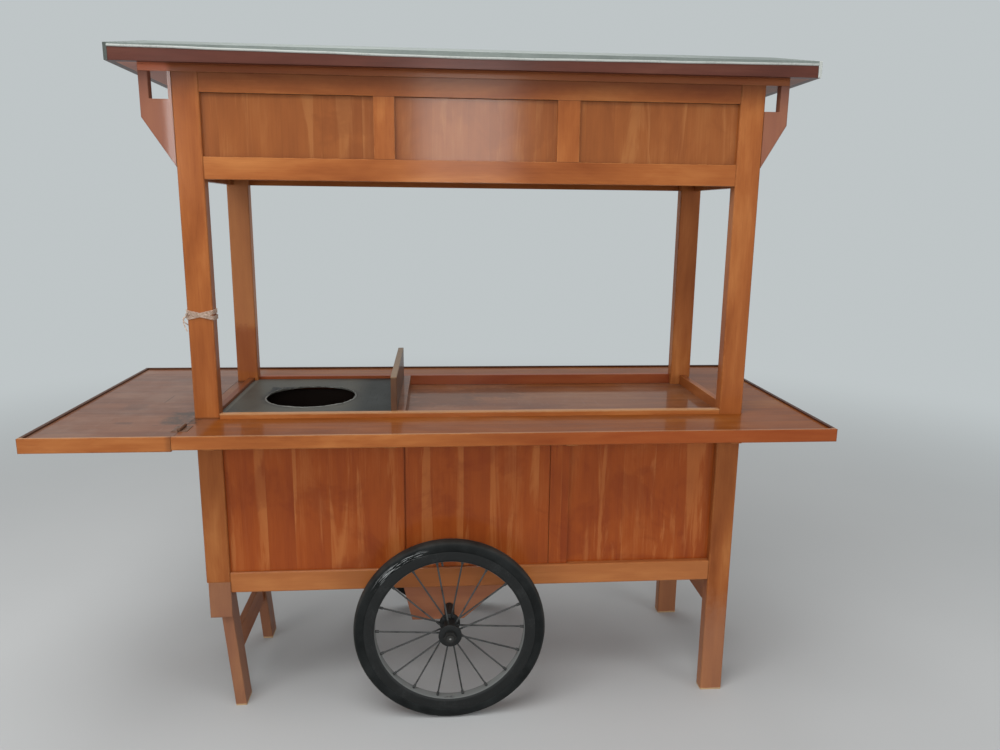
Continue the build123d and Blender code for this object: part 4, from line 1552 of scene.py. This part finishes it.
@dataclass
class RoofSheet:
    """Painted sheet over the roof, with the beaded hem along its lower edges and its folded ends."""

    node: bpy.types.Object
    wrap: float = 8.0 * MM
    lip: float = 17.0 * MM
    eaves: float = 1.946
    # Rise of the hem's two ends over its middle, and the bead's half width and half height.
    droop: Span = (9.0 * MM, 7.0 * MM)
    bead: Span = (2.2 * MM, 3.3 * MM)
    places: int = 61
    wave: float = 0.5 * MM
    # Colours of the folded ends: painted shade on the left one, painted light on the right one.
    left_end: Colour = (0.055, 0.062, 0.055)
    right_end: Colour = (0.52, 0.54, 0.51)
    metal: SheetMetal = SheetMetal(
        "roof_metal", (0.235, 0.265, 0.245), (0.115, 0.135, 0.125), rough=0.5, metallic=0.2, cloud=5.0
    )
    hem: Paint = Paint("roof_hem", (0.40, 0.42, 0.395), (0.20, 0.21, 0.19), rough=0.5, rubbed=0.5)

    def build(self) -> None:
        """Dress the sheet and add its hems."""
        low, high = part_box(self.node.name)
        self.low, self.high = low, high
        # The sheet's ends: painted shade on the left, painted light on the right.
        ends = (
            Patch(self.left_end, 0.8, x=(-FAR, low.x + self.wrap + 1.0 * MM)),
            Patch(self.right_end, 0.8, x=(high.x - self.wrap - 1.0 * MM, FAR)),
        )
        dress(self.node, self.metal.material(ends))
        hems = [self.edge(side) for side in Side]
        piece("roof_hem", hems, self.hem.material(), "cart", sharp=50.0, recalc=True)

    def edge(self, side: Side) -> Surface:
        """Lay a bead along one lower edge, which droops in a straight line from either end to the middle.

        At each x its height is the drooping line's plus a small wave, the product of a quick and a slow sine.

        Args:
            side: The side that it runs along.

        Returns:
            The bead, of an upright oval section.
        """
        start, end = self.low.x + self.wrap + 1.2 * MM, self.high.x - self.wrap - 1.2 * MM
        middle = (start + end) / 2
        foot = self.eaves - self.lip
        along = np.array([start, middle, end])
        drop = np.array([foot + self.droop[0], foot, foot + self.droop[1]])
        x = np.linspace(start, end, self.places)
        wave = self.wave * np.sin(x * 23.0 + side.value) * np.sin(x * 7.3)
        y = np.full_like(x, side.value * (self.high.y - 0.9 * MM))
        path = np.stack([x, y, np.interp(x, along, drop) + self.bead[1] * 0.8 + wave], axis=1)
        out = np.broadcast_to(np.array([0.0, float(side.value), 0.0]), path.shape)
        up = np.broadcast_to(np.array([0.0, 0.0, 1.0]), path.shape)
        return carried(path, out, up, disc_of(self.bead[0], self.bead[1] / self.bead[0], 10), False)


@dataclass
class LeafHinge:
    """Butt hinge of the folding leaf: knuckled barrel, two flaps that lie on the boards, and their screws."""

    side: Side
    metal: bpy.types.Material
    knuckles: int = 5
    knuckle_gap: float = 0.5 * MM
    flap: float = 22.0 * MM
    flap_thick: float = 1.4 * MM
    pin_share: float = 0.62
    screws: int = 3
    # Radius and height of a screw's head.
    screw: Span = (3.0 * MM, 0.7 * MM)
    screw_inset: float = 9.0 * MM
    screw_stagger: float = 4.0 * MM

    def build(self) -> None:
        """Make the barrel with the deck's flap, and the leaf's flap."""
        name = f"leaf_hinge_{self.side.word}"
        low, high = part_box(name)
        radius = (high.z - low.z) - (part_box("deck_rim")[1].z - low.z)
        self.x, self.z, self.radius = low.x + radius, high.z - radius, radius
        self.low, self.high = low, high
        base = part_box("deck_board")[1].z
        fixed = [*self.barrel(), *self.leaf(base, 1.0)]
        piece(f"hinge_{self.side.word}", fixed, self.metal, "cart", [name], recalc=True)
        piece(f"hinge_flap_{self.side.word}", self.leaf(base, -1.0), self.metal, "leaf", recalc=True)

    def drum(self, radius: float, low: float, high: float, ease: float, steps: int, along: float = 0.0) -> Surface:
        """Turn a drum with eased ends on the barrel's axis.

        Args:
            radius: Its radius.
            low: Its lower end along Y.
            high: Its upper end.
            ease: Length of the easing at its corners.
            steps: Places round it.
            along: Move along Y.

        Returns:
            The drum, closed both ways.
        """
        core = 0.05 * MM
        outline = rounded([(core, low), (radius, low), (radius, high), (core, high)], ease)
        return Surface(turned(outline, steps).points + np.array([self.x, along, self.z]), True, True)

    def barrel(self) -> list[Surface]:
        """Set the knuckles in a row on a pin with a low head at each end.

        Returns:
            The knuckles, then the pin.
        """
        pitch = (self.high.y - self.low.y - 2.0 * MM) / self.knuckles
        half = (pitch - self.knuckle_gap) / 2
        first = self.low.y + 1.0 * MM + pitch / 2
        made = [
            self.drum(self.radius, -half, half, 0.6 * MM, 24, first + number * pitch) for number in range(self.knuckles)
        ]
        return [*made, self.drum(self.radius * self.pin_share, self.low.y, self.high.y, 0.8 * MM, 20)]

    def leaf(self, base: float, way: float) -> list[Surface]:
        """Lay one flap with its screw heads.

        Args:
            base: Height of the board that it lies on.
            way: 1 for the flap on the deck, and -1 for the one on the leaf.

        Returns:
            The plate and the heads.
        """
        near, far = self.x + way * 1.5 * MM, self.x + way * self.flap
        low = (min(near, far), self.low.y + 0.5 * MM, base)
        high = (max(near, far), self.high.y - 0.5 * MM, base + self.flap_thick)
        spots = np.linspace(low[1] + self.screw_inset, high[1] - self.screw_inset, self.screws)
        middle = self.x + way * self.flap * 0.66
        heads = [
            stud((middle + (number % 2 - 0.5) * self.screw_stagger, y, high[2]), *self.screw)
            for number, y in enumerate(spots)
        ]
        return [plate(low, high, 2.0 * MM, 0.4 * MM), *heads]


@dataclass
class Lashing:
    """Raffia tied crosswise round the front left post, with a knot and two short tails."""

    material: bpy.types.Material
    strand: float = 1.25 * MM
    strands: int = 4
    # Strand radii from one strand to the next, and turns of a ply in one round of the post.
    pitch: float = 2.5
    twist: float = 26.0
    tilt: float = math.radians(13.0)
    corner: float = 4.0 * MM
    knot_size: float = 2.1 * MM
    knot_shift: float = 12.0 * MM
    knot_drop: float = 3.0 * MM
    tails: tuple[Span, ...] = ((0.0, 44.0 * MM), (2.1, 27.0 * MM))

    def build(self) -> None:
        """Make the bands, the knot and the tails."""
        low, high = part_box("post_left_front")
        self.middle = np.array([(low.x + high.x) / 2, (low.y + high.y) / 2])
        self.half = np.array([(high.x - low.x) / 2, (high.y - low.y) / 2])
        tie_low, tie_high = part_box("post_lashing")
        self.level = (tie_low.z + tie_high.z) / 2
        made: list[Surface] = []
        for band, lean in enumerate((1.0, -1.0)):
            for number in range(self.strands):
                rise = (number - (self.strands - 1) / 2) * self.pitch * self.strand
                for ply in (0.0, math.pi):
                    made.append(self.turn(lean, rise, 1.0 + 0.9 * band, ply + number))
        made += [self.knot(), *(self.tail(phase, length) for phase, length in self.tails)]
        piece("raffia_tie", made, self.material, "cart", ["post_lashing"], sharp=70.0, recalc=True)

    def turn(self, lean: float, rise: float, layer: float, phase: float, steps: int = 220) -> Surface:
        """Wind one ply of one strand round the post.

        The path goes round a rectangle with round corners, at a height that follows x times the tilt. The
        ply winds about it: the path plus s (cos p out + sin p up), where p grows by the twist in the round.

        Args:
            lean: Sign of the tilt.
            rise: Height above the band's middle.
            layer: Number of strand radii off the post.
            phase: Where the ply's winding starts.
            steps: Places round the post.

        Returns:
            The ply, a thin tube that comes back to its start.
        """
        share = np.linspace(0.0, 1.0, steps, endpoint=False)
        side = self.half - self.corner
        quarter = math.pi / 2 * self.corner
        runs = np.array([2 * side[1], quarter, 2 * side[0], quarter, 2 * side[1], quarter, 2 * side[0], quarter])
        ends = np.concatenate([[0.0], np.cumsum(runs)])
        length = share * ends[-1]
        run = np.searchsorted(ends, length, side="right") - 1
        part = (length - ends[run]) / runs[run]
        corners = np.array([[1, -1], [1, 1], [-1, 1], [-1, -1]]) * side
        here = corners[(run + 1) // 2 % 4]
        after = corners[((run + 1) // 2 + 1) % 4]
        bent = (run % 2).astype(float)
        base = np.where(bent[:, None] == 1.0, here, here + (after - here) * part[:, None])
        angle = (run // 2 + bent * part) * math.pi / 2
        out = np.stack([np.cos(angle), np.sin(angle), np.zeros(steps)], axis=1)
        up = np.broadcast_to(np.array([0.0, 0.0, 1.0]), out.shape)
        off = self.corner + self.strand * layer + 0.5 * MM
        flat = base + out[:, :2] * off
        height = self.level + rise + np.tan(self.tilt) * lean * flat[:, 0]
        path = np.column_stack([flat + self.middle, height])
        wind = (share * self.twist * FULL_TURN + phase)[:, None]
        path = path + self.strand * 0.55 * (np.cos(wind) * out + np.sin(wind) * up)
        return carried(path, out, up, disc_of(self.strand * 0.75, 1.0, 6), True)

    def knot(self, steps: int = 120) -> Surface:
        """Tie the overhand knot on the post's left face.

        At each t its path is at (-0.8 sin 3t, sin t + 2 sin 2t, cos t - 2 cos 2t) times its size.

        Args:
            steps: Places along the path.

        Returns:
            The knot, a tube that comes back to its start.
        """
        turn = np.linspace(0.0, FULL_TURN, steps, endpoint=False)
        out, across = -np.sin(3 * turn) * 0.8, np.sin(turn) + 2 * np.sin(2 * turn)
        flat = np.stack([out, across, np.cos(turn) - 2 * np.cos(2 * turn)], axis=1)
        left, along = self.middle[0] - self.half[0] - 4.6 * MM, self.middle[1] - self.knot_shift
        spot = np.array([left, along, self.level - self.knot_drop])
        return self.tube(flat * self.knot_size + spot, self.strand * 1.25, True)

    def tail(self, phase: float, length: float, steps: int = 50) -> Surface:
        """Hang a loose end that bows out from the knot and comes back to the post's left face, in a slow wave.

        Args:
            phase: Start of its wave.
            length: How far down it hangs.
            steps: Places along it.

        Returns:
            The tail, a thin tube closed at both ends.
        """
        share = np.linspace(0.0, 1.0, steps)
        x = self.middle[0] - self.half[0] - 3.6 * MM - 13.0 * MM * np.sin(math.pi * share**0.8) * (1.0 - 0.35 * share)
        y = self.middle[1] - self.knot_shift + 4.0 * MM * np.sin(share * 5.0 + phase) * share
        y = y - 3.0 * MM * math.cos(phase) * share
        z = self.level - self.knot_drop - length * share
        return self.tube(np.stack([x, y, z], axis=1), self.strand * 1.1, False)

    def tube(self, path: Array, radius: float, closed: bool) -> Surface:
        """Lay a round tube along a path, with its section square to the path.

        Args:
            path: One row for each place.
            radius: The tube's radius.
            closed: Whether the path comes back to its start.

        Returns:
            The tube.
        """
        way = np.roll(path, -1, axis=0) - np.roll(path, 1, axis=0) if closed else np.gradient(path, axis=0)
        way /= np.linalg.norm(way, axis=1, keepdims=True)
        helper = np.array([0.31, 0.95, 0.05])
        out = np.cross(way, helper)
        out /= np.linalg.norm(out, axis=1, keepdims=True)
        return carried(path, out, np.cross(way, out), disc_of(radius, 1.0, 8), closed)


@dataclass
class MetalWork:
    """Plain steel nodes: the axle with its nuts, and the stand's pivot."""

    nodes: dict[str, bpy.types.Object]
    steel: Paint
    dark: bpy.types.Material
    grease: Colour = (0.012, 0.012, 0.011)

    def build(self) -> None:
        """Dress the steel nodes."""
        for name, node in self.nodes.items():
            if name.startswith(("axle_nut", "stand_pivot")):
                dress(node, self.dark)
            elif name == "axle":
                low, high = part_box(name)
                dull = Ring(tuple((low + high) / 2), 3.0 * MM, 30.0 * MM, self.grease, 0.94)
                dress(node, self.steel.material((dull,)))


def main() -> None:
    """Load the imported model, dress it and add its pieces."""
    logging.basicConfig(level=logging.INFO, format="%(name)s: %(message)s")
    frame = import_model()
    Studio().build()
    nodes = frame["nodes"]
    steel = Paint("plain_steel", (0.22, 0.22, 0.21), (0.10, 0.08, 0.07), rough=0.5, rubbed=0.5)
    dark = Paint("dark_steel", (0.018, 0.018, 0.017), (0.07, 0.055, 0.045), rough=0.5, metallic=0.2, rubbed=0.5)
    brown = Paint("varnished_steel", (0.125, 0.060, 0.034), (0.22, 0.14, 0.09), metallic=0.1, rubbed=0.6)
    varnished = brown.material()
    Joinery(nodes).build()
    MetalWork(nodes, steel, dark.material()).build()
    StoveTop(nodes["stove_top"]).build()
    RoofSheet(nodes["roof_sheet"]).build()
    for side in Side:
        iron = Paint(f"wheel_iron_{side.word}", (0.008, 0.009, 0.009), (0.030, 0.032, 0.032), rough=0.5)
        Wheel(side, iron, Rubber(f"tyre_rubber_{side.word}")).build()
        LeafHinge(side, varnished).build()
    Lashing(Twine().material()).build()


if __name__ == "__main__":
    main()
